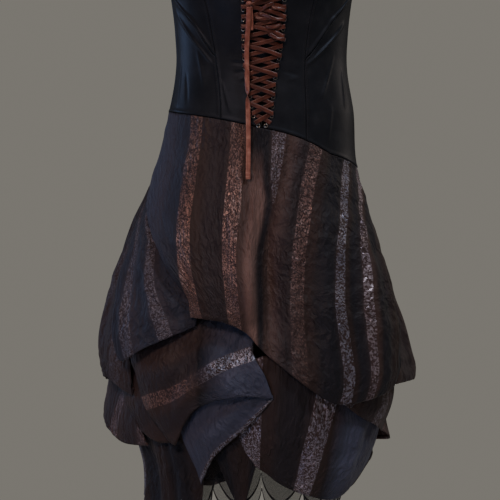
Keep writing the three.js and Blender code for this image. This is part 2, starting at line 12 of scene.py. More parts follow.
import bmesh
import bpy
import numpy as np
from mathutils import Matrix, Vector


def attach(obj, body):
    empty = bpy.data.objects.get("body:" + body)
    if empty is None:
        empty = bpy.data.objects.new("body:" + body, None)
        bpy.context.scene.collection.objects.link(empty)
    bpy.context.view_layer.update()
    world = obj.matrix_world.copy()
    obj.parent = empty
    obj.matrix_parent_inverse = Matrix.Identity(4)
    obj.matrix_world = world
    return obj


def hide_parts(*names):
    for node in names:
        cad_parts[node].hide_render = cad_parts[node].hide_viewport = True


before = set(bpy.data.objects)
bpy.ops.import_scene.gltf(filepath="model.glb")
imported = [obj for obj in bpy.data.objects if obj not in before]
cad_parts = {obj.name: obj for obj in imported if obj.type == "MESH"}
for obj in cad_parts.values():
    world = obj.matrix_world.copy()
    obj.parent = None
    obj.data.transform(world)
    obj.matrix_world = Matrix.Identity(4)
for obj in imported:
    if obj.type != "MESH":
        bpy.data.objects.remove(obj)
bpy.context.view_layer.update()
MM = 0.001

# %% [markdown]
# The photograph looks straight at the front. Its scale is 1.52 mm to the pixel at the middle of
# the dress, so a camera 3.5 m away has to frame 760 mm there. A long lens from that distance
# keeps the dress as flat to the eye as the photograph does.

# %% Camera
PIXEL = 1.52
PICTURE = 500
CAMERA_AWAY = 3500.0
CENTRE_PX = 261.5
WAIST_PY = 70.0
SENSOR = 36.0

camera_data = bpy.data.cameras.new("camera")
camera_data.sensor_width = SENSOR
camera_data.lens = SENSOR * CAMERA_AWAY / (PIXEL * PICTURE)
camera = bpy.data.objects.new("camera", camera_data)
camera.location = (
    (PICTURE / 2 - CENTRE_PX) * PIXEL * MM,
    -CAMERA_AWAY * MM,
    (WAIST_PY - PICTURE / 2) * PIXEL * MM,
)
camera.rotation_euler = (math.pi / 2, 0, 0)
bpy.context.scene.collection.objects.link(camera)
bpy.context.scene.camera = camera
print("lens:", round(camera_data.lens, 1), "mm at", tuple(round(c, 4) for c in camera.location))

# %% [markdown]
# Every piece of a worn dress follows one body form. The form is a stack of level rings with
# their own half widths and half depths, and a place on the dress is an angle round it, a height
# and a distance out from it. Smooth curves run through the rows of each short table, so a panel
# made from them is smooth however fine its mesh is.

# %% Tables and smooth curves through them
def table(columns, rows):
    """Named columns of numbers, one row for each section, fold or crease."""
    values = np.array(rows, float)
    return {name: values[:, i] for i, name in enumerate(columns.split())}


def spline(values, place):
    """A smooth value at places counted in rows. values is rows, or rows by points."""
    values = np.asarray(values, float)
    place = np.asarray(place, float)
    last = len(values) - 1
    low = np.clip(np.floor(place).astype(int), 0, last - 1)
    t = place - low
    before = 2 * values[:1] - values[1:2]
    after = 2 * values[-1:] - values[-2:-1]
    padded = np.concatenate([before, values, after])
    if values.ndim == 1:
        a, b, c, d = (padded[low + k] for k in range(4))
    else:
        a, b, c, d = (padded[low + k, np.arange(len(place))] for k in range(4))
    lean, following, rise = (c - a) / 2, (d - b) / 2, c - b
    return b + lean * t + (3 * rise - 2 * lean - following) * t**2 + (lean + following - 2 * rise) * t**3


def look_up(rows, key, column, at):
    """A column's smooth value where the key column reaches the given value."""
    keys = rows[key]
    turn = 1 if keys[1] > keys[0] else -1
    place = np.interp(np.asarray(at, float) * turn, keys * turn, np.arange(len(keys)))
    return spline(rows[column], place)


def mix(a, b, share):
    return a + (b - a) * share


# %% The form of the dress
FORM = table("z left right front back", [
    [240, 145, 145, 102, 92],
    [170, 147, 147, 108, 92],
    [106, 137, 137, 104, 91],
    [50, 131, 131, 98, 91],
    [0, 130, 130, 96, 92],
    [-65, 141, 140, 103, 108],
    [-150, 162, 146, 115, 130],
    [-275, 212, 179, 138, 160],
    [-350, 236, 201, 152, 182],
    [-410, 250, 221, 160, 196],
    [-470, 244, 233, 166, 200],
    [-540, 236, 204, 162, 194],
    [-600, 200, 182, 154, 182],
    [-660, 180, 162, 148, 172],
    [-720, 172, 154, 144, 166],
])
CUPS = table("deg z wide tall out", [
    [-40, 150, 25, 50, 16],
    [40, 150, 25, 50, 16],
])


def cup_out(deg, z):
    total = 0
    for cup in zip(*CUPS.values()):
        total = total + cup[4] * np.exp(-(((deg - cup[0]) / cup[2]) ** 2) - ((z - cup[1]) / cup[3]) ** 2)
    return total


def form_point(deg, z, out):
    """Points on the form, in millimetres, out from it by the given distance."""
    deg, z, out = np.broadcast_arrays(*(np.asarray(x, float) for x in (deg, z, out)))
    angle = np.radians(deg)
    side, ahead = np.sin(angle), np.cos(angle)
    reach = out + np.where(z > 0, cup_out(deg, z), 0)
    wide = np.where(side < 0, look_up(FORM, "z", "left", z), look_up(FORM, "z", "right", z)) + reach
    deep = np.where(ahead > 0, look_up(FORM, "z", "front", z), look_up(FORM, "z", "back", z)) + reach
    return np.stack([wide * side, -deep * ahead, z], axis=-1)


def front_point(x, z, out):
    """A point on the front, by its distance from the centre plane."""
    half = look_up(FORM, "z", "right", z)
    return form_point(np.degrees(np.arcsin(np.asarray(x, float) / half)), z, out)


print("waist:", form_point([-90, 90, 0, 180], 0, 0).round(1).tolist())

# %% The seams that the pieces share
HIP_SEAM = table("deg z", [
    [-180, -112], [-135, -84], [-90, -65], [-50, -71], [-30, -78], [-10, -88],
    [13, -100], [28, -112], [46, -131], [90, -149], [135, -140], [180, -112],
])
NECKLINE = table("deg z", [
    [0, 130], [10, 146], [22, 178], [38, 200], [58, 196], [82, 180], [120, 168], [180, 164],
])
CUP_SEAM = table("deg z", [[25, 4], [31, 12], [49, 61], [73, 106], [83, 120]])
BODICE_SEAMS = table("z left_princess right_princess side back_side", [
    [240, -38, 35, 82, 128],
    [106, -37, 34, 82, 128],
    [12, -32, 30, 81, 128],
    [-70, -25.5, 28, 81, 128],
    [-150, -25, 28, 81, 128],
])
OPENING = table("z left right", [
    [140, -24.5, 32],
    [106, -24, 30],
    [55, -24, 28],
    [12, -22.5, 22.5],
    [-14, -20, 17],
    [-46, -14.5, 13.5],
    [-76, -9, 11],
    [-89, -6, 9],
    [-91, -0.6, 0.6],
    [-120, -0.5, 0.5],
])
SEAM_GAP = 0.4
SEAM_DEG = 0.02


def hip_seam_z(deg):
    return look_up(HIP_SEAM, "deg", "z", (np.asarray(deg, float) + 180) % 360 - 180)


def neckline_z(deg):
    return look_up(NECKLINE, "deg", "z", np.abs(deg))


def cup_seam_z(deg):
    return look_up(CUP_SEAM, "deg", "z", np.abs(deg))


def opening_deg(z, edge):
    return np.degrees(np.arcsin(look_up(OPENING, "z", edge, z) / look_up(FORM, "z", "right", z)))


# %% [markdown]
# A colour given here is an sRGB one, while Blender's shaders work in linear light. One
# function turns hex values linear, and one adds a shader node with its settings and its links.
# Short ones for the usual nodes follow, so each material below reads as a list of what the real
# finish is made of.

# %% Helpers for materials
def colour(hex_value):
    """A linear RGBA colour from an sRGB hex value."""
    channels = [(hex_value >> shift & 255) / 255 for shift in (16, 8, 0)]
    return [c / 12.92 if c <= 0.04045 else ((c + 0.055) / 1.055) ** 2.4 for c in channels] + [1]


def add_node(tree, kind, values=None, links=None, **settings):
    """Adds a node: settings are its own properties, values its sockets, links what feeds them."""
    node = tree.nodes.new(kind)
    for name, value in settings.items():
        setattr(node, name, value)
    for socket, value in (values or {}).items():
        node.inputs[socket].default_value = value
    for socket, source in (links or {}).items():
        tree.links.new(source, node.inputs[socket])
    return node


def start_material(name):
    material = bpy.data.materials.new(name)
    material.use_nodes = True
    material.node_tree.nodes.clear()
    return material, material.node_tree


def finish_material(tree, values, links):
    """The principled shader and the output. Constants are set on the shader's own sockets."""
    shader = add_node(tree, "ShaderNodeBsdfPrincipled", values, links)
    add_node(tree, "ShaderNodeOutputMaterial", links={"Surface": shader.outputs[0]})


def ramp(tree, source, *stops):
    """A colour ramp from (place, hex colour) pairs."""
    node = add_node(tree, "ShaderNodeValToRGB", links={"Fac": source})
    elements = node.color_ramp.elements
    while len(elements) < len(stops):
        elements.new(0.5)
    for element, (place, hex_value) in zip(elements, stops):
        element.position = place
        element.color = colour(hex_value)
    return node.outputs[0]


def uv_map(tree, layer="weave"):
    return add_node(tree, "ShaderNodeUVMap", uv_map=layer).outputs[0]


def object_place(tree):
    return add_node(tree, "ShaderNodeTexCoord").outputs["Object"]


def noise(tree, place, scale, detail=2, **more):
    return add_node(tree, "ShaderNodeTexNoise", {"Scale": scale, "Detail": detail, **more}, {"Vector": place})


def map_range(tree, source, **ends):
    """The source's range moved to another. Ends that aren't named are 0 and 1."""
    values = {name.replace("_", " ").title(): value for name, value in ends.items()}
    return add_node(tree, "ShaderNodeMapRange", values, {"Value": source}).outputs[0]


def maths(tree, operation, first, second=None):
    """The second value is a number or what feeds it."""
    values, links = {}, {0: first}
    if second is not None:
        (values if isinstance(second, float) else links)[1] = second
    return add_node(tree, "ShaderNodeMath", values, links, operation=operation).outputs[0]


def bump(tree, height, strength, distance, under=None):
    links = {"Height": height} if under is None else {"Height": height, "Normal": under}
    return add_node(tree, "ShaderNodeBump", {"Strength": strength, "Distance": distance}, links).outputs[0]


# %% Helpers for meshes
def new_mesh(name, bm):
    """A mesh filled from a bmesh, which is freed."""
    mesh = bpy.data.meshes.new(name)
    bm.to_mesh(mesh)
    bm.free()
    return mesh


def add_object(name, data):
    thing = bpy.data.objects.new(name, data)
    bpy.context.scene.collection.objects.link(thing)
    return thing


def finish_object(name, mesh, material):
    """Links a mesh as an object at the origin that rides on the dress's one body."""
    mesh.materials.append(material)
    mesh.polygons.foreach_set("use_smooth", np.ones(len(mesh.polygons), bool))
    piece = add_object(name, mesh)
    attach(piece, "root")
    return piece


def in_metres(wide, long):
    """The UV layer named weave for cloth of this size in millimetres: metres across and along it."""
    return lambda u, v: (u * wide * MM, v * long * MM)


def flat_cut(name, across, down, place, **layers):
    """A piece of cloth: a flat grid with UV layers, moved to its place on the dress.

    place gives points in millimetres for shares across and down the cut. Each layer gives a pair
    of values for the same shares.
    """
    bm = bmesh.new()
    bmesh.ops.create_grid(bm, x_segments=across, y_segments=down, size=0.5)
    mesh = new_mesh(name, bm)
    flat = np.empty(len(mesh.vertices) * 3)
    mesh.vertices.foreach_get("co", flat)
    flat = flat.reshape(-1, 3)
    u, v = flat[:, 0] + 0.5, 0.5 - flat[:, 1]
    mesh.vertices.foreach_set("co", (place(u, v) * MM).ravel())
    corners = np.empty(len(mesh.loops), int)
    mesh.loops.foreach_get("vertex_index", corners)
    for layer, values in layers.items():
        pairs = np.stack(values(u, v), axis=-1)[corners]
        mesh.uv_layers.new(name=layer).uv.foreach_set("vector", pairs.astype(np.float32).ravel())
    mesh.update()
    return mesh


def add_wall(piece, thickness, offset=-1):
    """Gives cloth its thickness, inwards from its outer face."""
    solid = piece.modifiers.new("wall", "SOLIDIFY")
    solid.thickness = thickness * MM
    solid.offset = offset
    solid.use_even_offset = False


def size_of(place, steps=24):
    """The mean width and length of a piece in millimetres, along its own surface."""
    share = np.linspace(0, 1, steps + 1)
    u, v = (x.ravel() for x in np.meshgrid(share, share))
    points = place(u, v).reshape(steps + 1, steps + 1, 3)
    width = np.linalg.norm(np.diff(points, axis=1), axis=2).sum(axis=1).mean()
    length = np.linalg.norm(np.diff(points, axis=0), axis=2).sum(axis=0).mean()
    return width, length


MEAN_REACH = 150


def crease_out(creases, deg, z):
    """Soft ridges and troughs along short lines, each from one place to another.

    A degree is taken as the same length everywhere, as if all cloth were MEAN_REACH from the middle.
    """
    total = np.zeros(np.broadcast(deg, z).shape)
    arc = math.radians(1) * MEAN_REACH
    for from_deg, from_z, to_deg, to_z, wide, out in creases:
        along = np.array([(to_deg - from_deg) * arc, to_z - from_z])
        length = np.hypot(*along)
        dx, dz = (deg - from_deg) * arc, z - from_z
        share = np.clip((dx * along[0] + dz * along[1]) / length**2, 0, 1)
        gap = np.hypot(dx - share * along[0], dz - share * along[1])
        ends = np.sqrt(np.sin(np.pi * (0.04 + 0.92 * share)))
        total = total + out * ends * np.exp(-((gap / wide) ** 2))
    return total


def value_noise(x, y, seed):
    """Smooth random values from -1 to 1, one lattice cell to each unit of x and y."""
    lattice = np.random.default_rng(seed).uniform(-1, 1, (64, 64))
    ix, iy = np.floor(x).astype(int), np.floor(y).astype(int)
    fx, fy = x - ix, y - iy
    fx, fy = fx * fx * (3 - 2 * fx), fy * fy * (3 - 2 * fy)
    corner = [lattice[(ix + i) % 64, (iy + j) % 64] for i in (0, 1) for j in (0, 1)]
    return mix(mix(corner[0], corner[1], fy), mix(corner[2], corner[3], fy), fx)


# %% [markdown]
# The lace is a satin-woven polyester ribbon, about 7 mm wide and the colour of old copper. Satin
# floats its threads along one way, so it shines across them, and that comes from the shader's
# anisotropy and a fine rib across the ribbon. The real rib is some 0.2 mm, far under a pixel, so
# it is drawn at 0.9 mm to show at all. The crossing laces, the slack loops, the ends that lead to
# the top eyelets and the knot's core have a darker copy of the ribbon, which is painted shade for
# the shadow in the opening. The free ends and the knot's turns have a paler copy of their own,
# which is painted light where they stand in the light.

# %% Satin ribbon
SATIN_RIB = 0.9


def satin_ribbon(name, deep, middle, pale):
    material, tree = start_material(name)
    weave = uv_map(tree)
    shade = ramp(tree, noise(tree, weave, 90, 3).outputs[0], (0.3, deep), (0.55, middle), (0.75, pale))
    rib = add_node(tree, "ShaderNodeTexWave", {"Scale": 1 / (SATIN_RIB * MM) / 6.28, "Distortion": 0.4},
                   {"Vector": weave}, bands_direction="Y")
    finish_material(
        tree,
        {"Roughness": 0.36, "Anisotropic": 0.5, "Sheen Weight": 0.25, "Sheen Roughness": 0.4,
         "Specular IOR Level": 0.6},
        {"Base Color": shade, "Normal": bump(tree, rib.outputs[1], 0.25, 0.0002)},
    )
    return material


# Two copies of one ribbon: the darker is painted shade for the laces in the opening, the paler is painted
# light for the free ends and the knot's turns.
satin = satin_ribbon("satin_woven_ribbon", 0x45211A, 0x5E3127, 0x7C4839)
painted_light_satin = satin_ribbon("satin_woven_ribbon_painted_light", 0x764136, 0x9A6051, 0xBE8A7A)
print("made", satin.name, painted_light_satin.name)

# %% [markdown]
# The lace is tied off in a small knot at the upper left of the opening, and its two free ends
# hang from there. The long one reaches down over the skirt and turns over once on the way, so
# its other face shows below the turn. Each end is a flat grid laid along a smooth route, with
# its width turned about the route. The routes are the same points that the frame's solids follow.

# %% Ribbon laid along a route
RIBBON_WIDE = 7.0
RIBBON_THICK = 0.35
ROUTE_STEP = 0.02


def route_points(route, at):
    """Points on the smooth route, and the way it runs there."""
    route = np.array(route, float)
    before, here, ahead = (
        np.stack([spline(route[:, k], np.clip(at + step, 0, len(route) - 1)) for k in range(3)], axis=-1)
        for step in (-ROUTE_STEP, 0, ROUTE_STEP)
    )
    way = ahead - before
    return here, way / np.linalg.norm(way, axis=-1, keepdims=True)


def facing_front(way):
    side = np.cross(np.array([0, -1.0, 0]), way)
    return side / np.linalg.norm(side, axis=-1, keepdims=True)


def upright(way):
    side = np.broadcast_to(np.array([0, 0, 1.0]), way.shape)
    side = side - way * (side * way).sum(-1, keepdims=True)
    return side / np.linalg.norm(side, axis=-1, keepdims=True)


def ribbon(name, route, wide, lie, turn=None, curl=0.25, steps=24, material=None):
    """A ribbon along a route. lie gives its width from the way it runs, turn how far it twists."""
    reach = len(route) - 1
    length = np.linalg.norm(np.diff(route_points(route, np.linspace(0, reach, 200))[0], axis=0), axis=1).sum()

    def place(u, v):
        here, way = route_points(route, v * reach)
        side = lie(way)
        face = np.cross(way, side)
        angle = np.zeros(len(v)) if turn is None else turn(here)
        side, face = (
            side * np.cos(angle)[:, None] + face * np.sin(angle)[:, None],
            face * np.cos(angle)[:, None] - side * np.sin(angle)[:, None],
        )
        return here + side * ((u - 0.5) * wide)[:, None] + face * (curl * (1 - (2 * u - 1) ** 2))[:, None]

    mesh = flat_cut(name, 4, steps, place, weave=in_metres(wide, length))
    piece = finish_object(name, mesh, material or satin)
    add_wall(piece, RIBBON_THICK, 0)
    return piece, length


# %% The two free ends of the lace, and the knot's core that they hang from
KNOT = {"x": -17.5, "z": 89, "out": 11.5, "wide": 6.6, "deep": 5.4, "tall": 7.4, "ripple": 0.06}
LONG_END = [
    [-17.6, 84.2, 13], [-18.4, 60, 12.5], [-20.6, 20, 11], [-20, -30, 10],
    [-18.8, -75, 9], [-17.6, -120, 9], [-17.2, -158, 10], [-17, -170, 10],
]
SHORT_END = [[-15.6, 84.4, 11], [-14.8, 74, 10], [-14.2, 60, 9], [-14.6, 50, 9]]
SHORT_SHARE = 0.8
TURN_Z = -46.0
TURN_LONG = 16.0


def turned_over(here):
    """Half a turn, around the height where the long end twists."""
    return math.pi / (1 + np.exp((here[:, 2] - TURN_Z) / (TURN_LONG / 3)))


def route_of(rows):
    rows = np.array(rows, float)
    return front_point(rows[:, 0], rows[:, 1], rows[:, 2])


def knot_core():
    bm = bmesh.new()
    bmesh.ops.create_uvsphere(bm, u_segments=20, v_segments=12, radius=0.5)
    centre = Vector(front_point(KNOT["x"], KNOT["z"], KNOT["out"]) * MM)
    for vert in bm.verts:
        x, y, z = vert.co
        ripple = 1 + KNOT["ripple"] * math.sin(z * 18 + x * 9)
        place = Vector((x * KNOT["wide"] * ripple, y * KNOT["deep"], z * KNOT["tall"] * ripple))
        vert.co = centre + place * MM
    bmesh.ops.recalc_face_normals(bm, faces=bm.faces)
    piece = finish_object("knot_core", new_mesh("knot_core", bm), satin)
    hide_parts("lace_knot")
    return piece


def free_end(name, rows, wide, turn, steps, on_it=()):
    route = route_of(rows)
    piece, length = ribbon(name, route, wide, facing_front, turn, steps=steps, material=painted_light_satin)
    path = route_points(route, np.linspace(0, len(route) - 1, 40))[0] * MM
    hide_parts("lace_" + name)
    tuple(path[0])
    print(name, "is", round(length), "mm long")


free_end("tail_long", LONG_END, RIBBON_WIDE, turned_over, steps=90, on_it=[knot_core()])
free_end("tail_short", SHORT_END, RIBBON_WIDE * SHORT_SHARE, None, steps=16)

# %% [markdown]
# The bodice is polyurethane-coated faux leather, near black. Its coating is smooth with a fine
# pressed grain, so it takes soft broad highlights along every fold and seam. The colour barely
# varies, and what the eye reads is the gloss: the roughness and the bump do the work. The
# photograph's highlights on it are a cool grey, so its specular tint leans to blue.

# %% Coated faux leather
GRAIN = 1.1


def faux_leather():
    material, tree = start_material("coated_faux_leather")
    place = object_place(tree)
    grain = add_node(tree, "ShaderNodeTexVoronoi", {"Scale": 1 / (GRAIN * MM)}, {"Vector": place}).outputs[0]
    soft = noise(tree, place, 34, 4, Roughness=0.6).outputs[0]
    tint = ramp(tree, soft, (0.3, 0x202226), (0.55, 0x26282C), (0.8, 0x303236))
    rough = map_range(tree, soft, to_min=0.38, to_max=0.5)
    grained = bump(tree, grain, 0.12, 0.0002, under=bump(tree, soft, 0.35, 0.0015))
    finish_material(
        tree,
        {"Specular IOR Level": 0.28, "IOR": 1.5, "Specular Tint": colour(0xA4B8D4)},
        {"Base Color": tint, "Roughness": rough, "Normal": grained},
    )
    return material


leather = faux_leather()
print("made", leather.name)

# %% [markdown]
# A sewn panel isn't flat to its edge. The seam pulls the edge in, and the turned allowance
# underneath, held by a row of topstitching, makes a low welt beside it. So each panel's outer
# face dips at its edges and stands a little proud for a few millimetres next to them. The light
# creases that the photograph shows are short ridges and troughs with a place of their own.

# %% Bodice panels
LEATHER_WALL = 1.4
WELT = 0.8
WELT_WIDE = 4.0
WELT_SOFT = 0.5
DIP = 0.5
DIP_WIDE = 0.9
BODICE_REACH = 135
CREASES = [
    # from deg, from z, to deg, to z, how wide, how far out
    [33, 20, 53, 74, 2.2, 3.0], [47, 64, 77, 115, 2.4, 3.0], [68, 66, 32, 2, 2.8, 3.4],
    [-33, 20, -53, 74, 2.4, 1.6], [-47, 64, -77, 115, 2.4, 1.6], [-72, 86, -34, 2, 3.0, 2.0],
    [-26, -26, -19, -70, 2.2, 0.9], [-11, 2, -20, 4, 2.5, -0.8], [-10, -9, -18, -12, 2.5, -0.8],
    [-8, -16, -15, -22, 2.5, 0.7], [-13, 70, -14, 30, 2.0, 0.6], [-14, 98, -15, 92, 2.0, 0.6],
    [14, -9, 24, -14, 2.4, -0.8], [17, -22, 23, -20, 2.6, 0.6], [32, 4, 40, 26, 2.2, 0.9],
    [56, 14, 41, -46, 3.0, 1.2], [68, -5, 64, -60, 4.0, 1.4], [-60, -10, -54, -52, 4.0, -1.0],
    [-70, 20, -66, -56, 3.5, 1.2], [-48, 24, -40, -30, 4.0, 0.8], [48, -60, 44, -110, 3.5, 1.0],
    [96, 4, 112, -8, 5.0, -1.0], [-96, 6, -114, -4, 5.0, -1.0], [140, 0, 160, -8, 6.0, -1.2],
    [-138, 4, -158, -6, 6.0, -1.2], [165, 12, 150, 20, 5.0, -1.0], [-150, 16, -166, 22, 5.0, -0.9],
]


def seam_line(column, turn=1):
    return lambda z: turn * look_up(BODICE_SEAMS, "z", column, z)


def panel_place(left, right, top_z, bottom_z):
    """Places on a panel between two side seams, from an upper line to a lower one."""
    def deg_z(u, v):
        """The seams slant, so the angle and the height are found together, in a few rounds."""
        deg = mix(left(0), right(0), u)
        for _ in range(12):
            z = mix(top_z(deg), bottom_z(deg), v)
            deg = mix(left(z) + SEAM_DEG, right(z) - SEAM_DEG, u)
        return deg, z

    def place(u, v):
        deg, z = deg_z(u, v)
        arc = math.radians(1) * BODICE_REACH
        wide = (right(z) - left(z)) * arc
        tall = top_z(deg) - bottom_z(deg)
        edge = np.minimum(np.minimum(u, 1 - u) * wide, np.minimum(v, 1 - v) * tall)
        welt = WELT / (1 + np.exp((edge - WELT_WIDE) / WELT_SOFT)) - DIP * np.exp(-((edge / DIP_WIDE) ** 2))
        return form_point(deg, z, welt + crease_out(CREASES, deg, z))

    return place


def above_hip(deg):
    return hip_seam_z(deg) + SEAM_GAP


def above_cup_seam(deg):
    return cup_seam_z(deg) + SEAM_GAP


def below_cup_seam(deg):
    return cup_seam_z(deg) - SEAM_GAP


def centre_back(turn):
    return lambda z: turn * 180 + 0 * z


def opening_line(edge):
    return lambda z: opening_deg(z, edge)


PANELS = {
    "centre_front_left": (seam_line("left_princess"), opening_line("left"), neckline_z, above_hip),
    "centre_front_right": (opening_line("right"), seam_line("right_princess"), neckline_z, above_hip),
    "cup_left": (seam_line("side", -1), seam_line("left_princess"), neckline_z, above_cup_seam),
    "cup_right": (seam_line("right_princess"), seam_line("side"), neckline_z, above_cup_seam),
    "side_front_left": (seam_line("side", -1), seam_line("left_princess"), below_cup_seam, above_hip),
    "side_front_right": (seam_line("right_princess"), seam_line("side"), below_cup_seam, above_hip),
    "side_back_left": (seam_line("back_side", -1), seam_line("side", -1), neckline_z, above_hip),
    "side_back_right": (seam_line("side"), seam_line("back_side"), neckline_z, above_hip),
    "back_left": (centre_back(-1), seam_line("back_side", -1), neckline_z, above_hip),
    "back_right": (seam_line("back_side"), centre_back(1), neckline_z, above_hip),
}
PANEL_STEP = 2.1


def declare_sheet(piece, place, node):
    wide, long = size_of(place)
    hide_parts(node)
    print(piece.name, "cut", round(wide), "x", round(long), "mm")


def bodice():
    for name, edges in PANELS.items():
        place = panel_place(*edges)
        wide, long = size_of(place)
        mesh = flat_cut("panel_" + name, round(wide / PANEL_STEP), round(long / PANEL_STEP), place,
                        weave=in_metres(wide, long))
        piece = finish_object("panel_" + name, mesh, leather)
        add_wall(piece, LEATHER_WALL)
        declare_sheet(piece, place, name)


bodice()

# %% The panel behind the lacing
MODESTY = {"below_neck": 6, "foot_z": -84, "half_deg": 20, "foot_share": 0.45, "in": 3.4,
           "ripple": 0.5, "wall": 0.6, "wide": 90, "long": 240}


def modesty_place(u, v):
    z = mix(neckline_z(8) - MODESTY["below_neck"], MODESTY["foot_z"], v)
    half = MODESTY["half_deg"] * mix(1, MODESTY["foot_share"], v * v)
    ripple = MODESTY["ripple"] * value_noise(u * 3, v * 7, 5)
    return form_point(mix(-half, half, u), z, ripple - MODESTY["in"])


def modesty_panel():
    mesh = flat_cut("panel_modesty", 30, 90, modesty_place, weave=in_metres(MODESTY["wide"], MODESTY["long"]))
    piece = finish_object("panel_modesty", mesh, leather)
    add_wall(piece, MODESTY["wall"])
    declare_sheet(piece, modesty_place, "modesty_panel")


modesty_panel()

# %% [markdown]
# The lace zigzags down the opening through small metal eyelets. Two laces cross between one row
# and the next, and they take turns to lie on top, so each is one long ribbon whose level rises
# and falls. The eyelets are pressed rings. A ring is a small circle spun round the eyelet's
# middle, and all of them are joined in one mesh.

# %% The crossing laces
LACE_ROWS = 15
LACE_TOP = 113.6
LACE_PITCH = 14.3
LACE_WIDE = 6.4
LACE_LEVEL = 1.5
LACE_LIFT = 1.2
LACE_MARGIN = 3.4
LACE_TURN = 1.6
LACE_STEPS = 520
CROSS_SHARES = [0, 0.3, 0.7, 1]
LACES = {
    # whether it starts at the left, and its level in even rows and in odd ones
    "over": (True, [3.2, 1.1]),
    "under": (False, [2.15, 0.05]),
}
# How far up the over lace's middle is pushed in each row, and the under lace's share of that.
SLACK = [0, 0, 3.5, -3, 4.0, -2.5, 2.0, 0, 0, 1.0, 0, 0, 0, 0]
OTHER_SLACK = -0.6


def opening_point(share, z, out):
    margin = np.degrees(LACE_MARGIN / look_up(FORM, "z", "right", z))
    left = opening_deg(z, "left") - margin
    right = opening_deg(z, "right") + margin
    return form_point(mix(left, right, share), z, out)


def lace_route(starts_left, levels):
    route = []
    for row in range(LACE_ROWS - 1):
        to_right = (row % 2 == 0) == starts_left
        out = LACE_LIFT + LACE_LEVEL * levels[row % 2]
        following = LACE_LIFT + LACE_LEVEL * levels[(row + 1) % 2]
        for share in CROSS_SHARES:
            z = LACE_TOP - LACE_PITCH * (row + share)
            slack = SLACK[row] * math.sin(math.pi * share) * (1 if starts_left else OTHER_SLACK)
            route.append(opening_point(share if to_right else 1 - share, z + slack, out))
        if row < LACE_ROWS - 2:
            z = LACE_TOP - LACE_PITCH * (row + 1)
            turn = opening_point(1 if to_right else 0, z, (out + following) / 2)
            turn[0] += LACE_TURN if to_right else -LACE_TURN
            route.append(turn)
    return route


def laces():
    for name, (starts_left, levels) in LACES.items():
        route = lace_route(starts_left, levels)
        piece, length = ribbon("crossing_lace_" + name, route, LACE_WIDE, upright, steps=LACE_STEPS)
        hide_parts("lace_" + name)
        print(piece.name, round(length), "mm")


laces()

# %% Eyelets
EYELET_RING = 2.6
EYELET_ROD = 0.75
EYELET_UP = 0.73
EYELET_PROUD = 0.6


def eyelet_metal():
    material, tree = start_material("plated_brass_eyelet")
    worn = noise(tree, object_place(tree), 900).outputs[0]
    shade = ramp(tree, worn, (0.35, 0x8A8784), (0.7, 0xB9B4AC))
    finish_material(tree, {"Metallic": 1.0, "Roughness": 0.3}, {"Base Color": shade})
    return material


def add_ring(bm, centre, facing):
    """A ring with a round rod, spun about its own axis."""
    side = facing.orthogonal().normalized()
    made = bmesh.ops.create_circle(bm, segments=8, radius=EYELET_ROD * MM)
    for vert in made["verts"]:
        x, y = vert.co.x, vert.co.y
        vert.co = centre + side * (EYELET_RING * MM + x) + facing * y
    edges = list(dict.fromkeys(edge for vert in made["verts"] for edge in vert.link_edges))
    bmesh.ops.spin(bm, geom=made["verts"] + edges, cent=centre, axis=facing, angle=2 * math.pi,
                   steps=18, use_merge=True)


def eyelets():
    bm = bmesh.new()
    for row in range(LACE_ROWS + 1):
        z = LACE_TOP + LACE_PITCH * EYELET_UP - LACE_PITCH * row
        for share in (0, 1):
            here = opening_point(share, z, EYELET_PROUD)
            facing = Vector(opening_point(share, z, 6.0) - here).normalized()
            add_ring(bm, Vector(here * MM), facing)
    bmesh.ops.remove_doubles(bm, verts=bm.verts, dist=0.00001)
    bmesh.ops.recalc_face_normals(bm, faces=bm.faces)
    piece = finish_object("eyelets", new_mesh("eyelets", bm), eyelet_metal())
    print("eyelets:", 2 * (LACE_ROWS + 1))


eyelets()

# %% [markdown]
# The knot is the two lace ends drawn round each other, with each end then leading up to the top
# eyelet on its side. Here it is a few short turns of ribbon wound about the small core that the
# free ends hang from, which reads as wrapped satin from any side. The photograph also shows slack
# lace between the crossings, and short loops with their ends tucked under stand for it.

# %% The knot's turns, the two ends that lead into it and the slack loops
END_WIDE = 6
END_UP = 3.4
LOOP_WIDE = 5.6
KNOT_TURNS = [
    # radius, squash, lean in degrees, wide
    [3.6, 0.9, 20, 4.6],
    [3.3, 1.0, -35, 4.0],
    [2.8, 1.1, 75, 3.6],
]


def knot_turn(index, radius, squash, lean, wide):
    centre = front_point(KNOT["x"], KNOT["z"], KNOT["out"])
    angle = np.linspace(0, 2 * math.pi, 17)
    lean = math.radians(lean)
    round_x, round_y, rise = radius * np.cos(angle), 0.75 * radius * np.sin(angle), 0.5 * np.sin(angle / 2)
    x = round_x * math.cos(lean) - rise * math.sin(lean)
    z = round_x * math.sin(lean) + rise * math.cos(lean)
    route = centre + np.stack([x, round_y, z * squash], axis=-1)
    axis = np.array([-math.sin(lean), 0, math.cos(lean)])
    ribbon(f"knot_turn_{index}", route, wide, lambda way: np.broadcast_to(axis, way.shape), curl=0.6,
           steps=40, material=painted_light_satin)


def end_to_eyelet(node, from_x, to_x, to_z):
    from_z = KNOT["z"] + END_UP
    start = front_point(from_x, from_z, KNOT["out"])
    middle = front_point(mix(from_x, to_x, 0.5), mix(from_z, to_z, 0.5), KNOT["out"])
    finish = front_point(to_x, to_z, 1.5)
    piece, _ = ribbon("ribbon_" + node, [start, middle, finish], END_WIDE, facing_front)
    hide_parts(node)


LOOPS = [
    # from x, from z, to x, to z, how far the middle drops, how far it stands out
    [-4, 78, 17, 90, -1.5, 9],
    [-6, 77, 35, 66, 3.5, 10],
    [-10, 71, 12, 68, 2.5, 8],
    [12, 84, 34, 79, -1.0, 8],
    [4, 55, 28, 61, 3.0, 8],
    [9, 46, 34, 37, 2.5, 8],
]


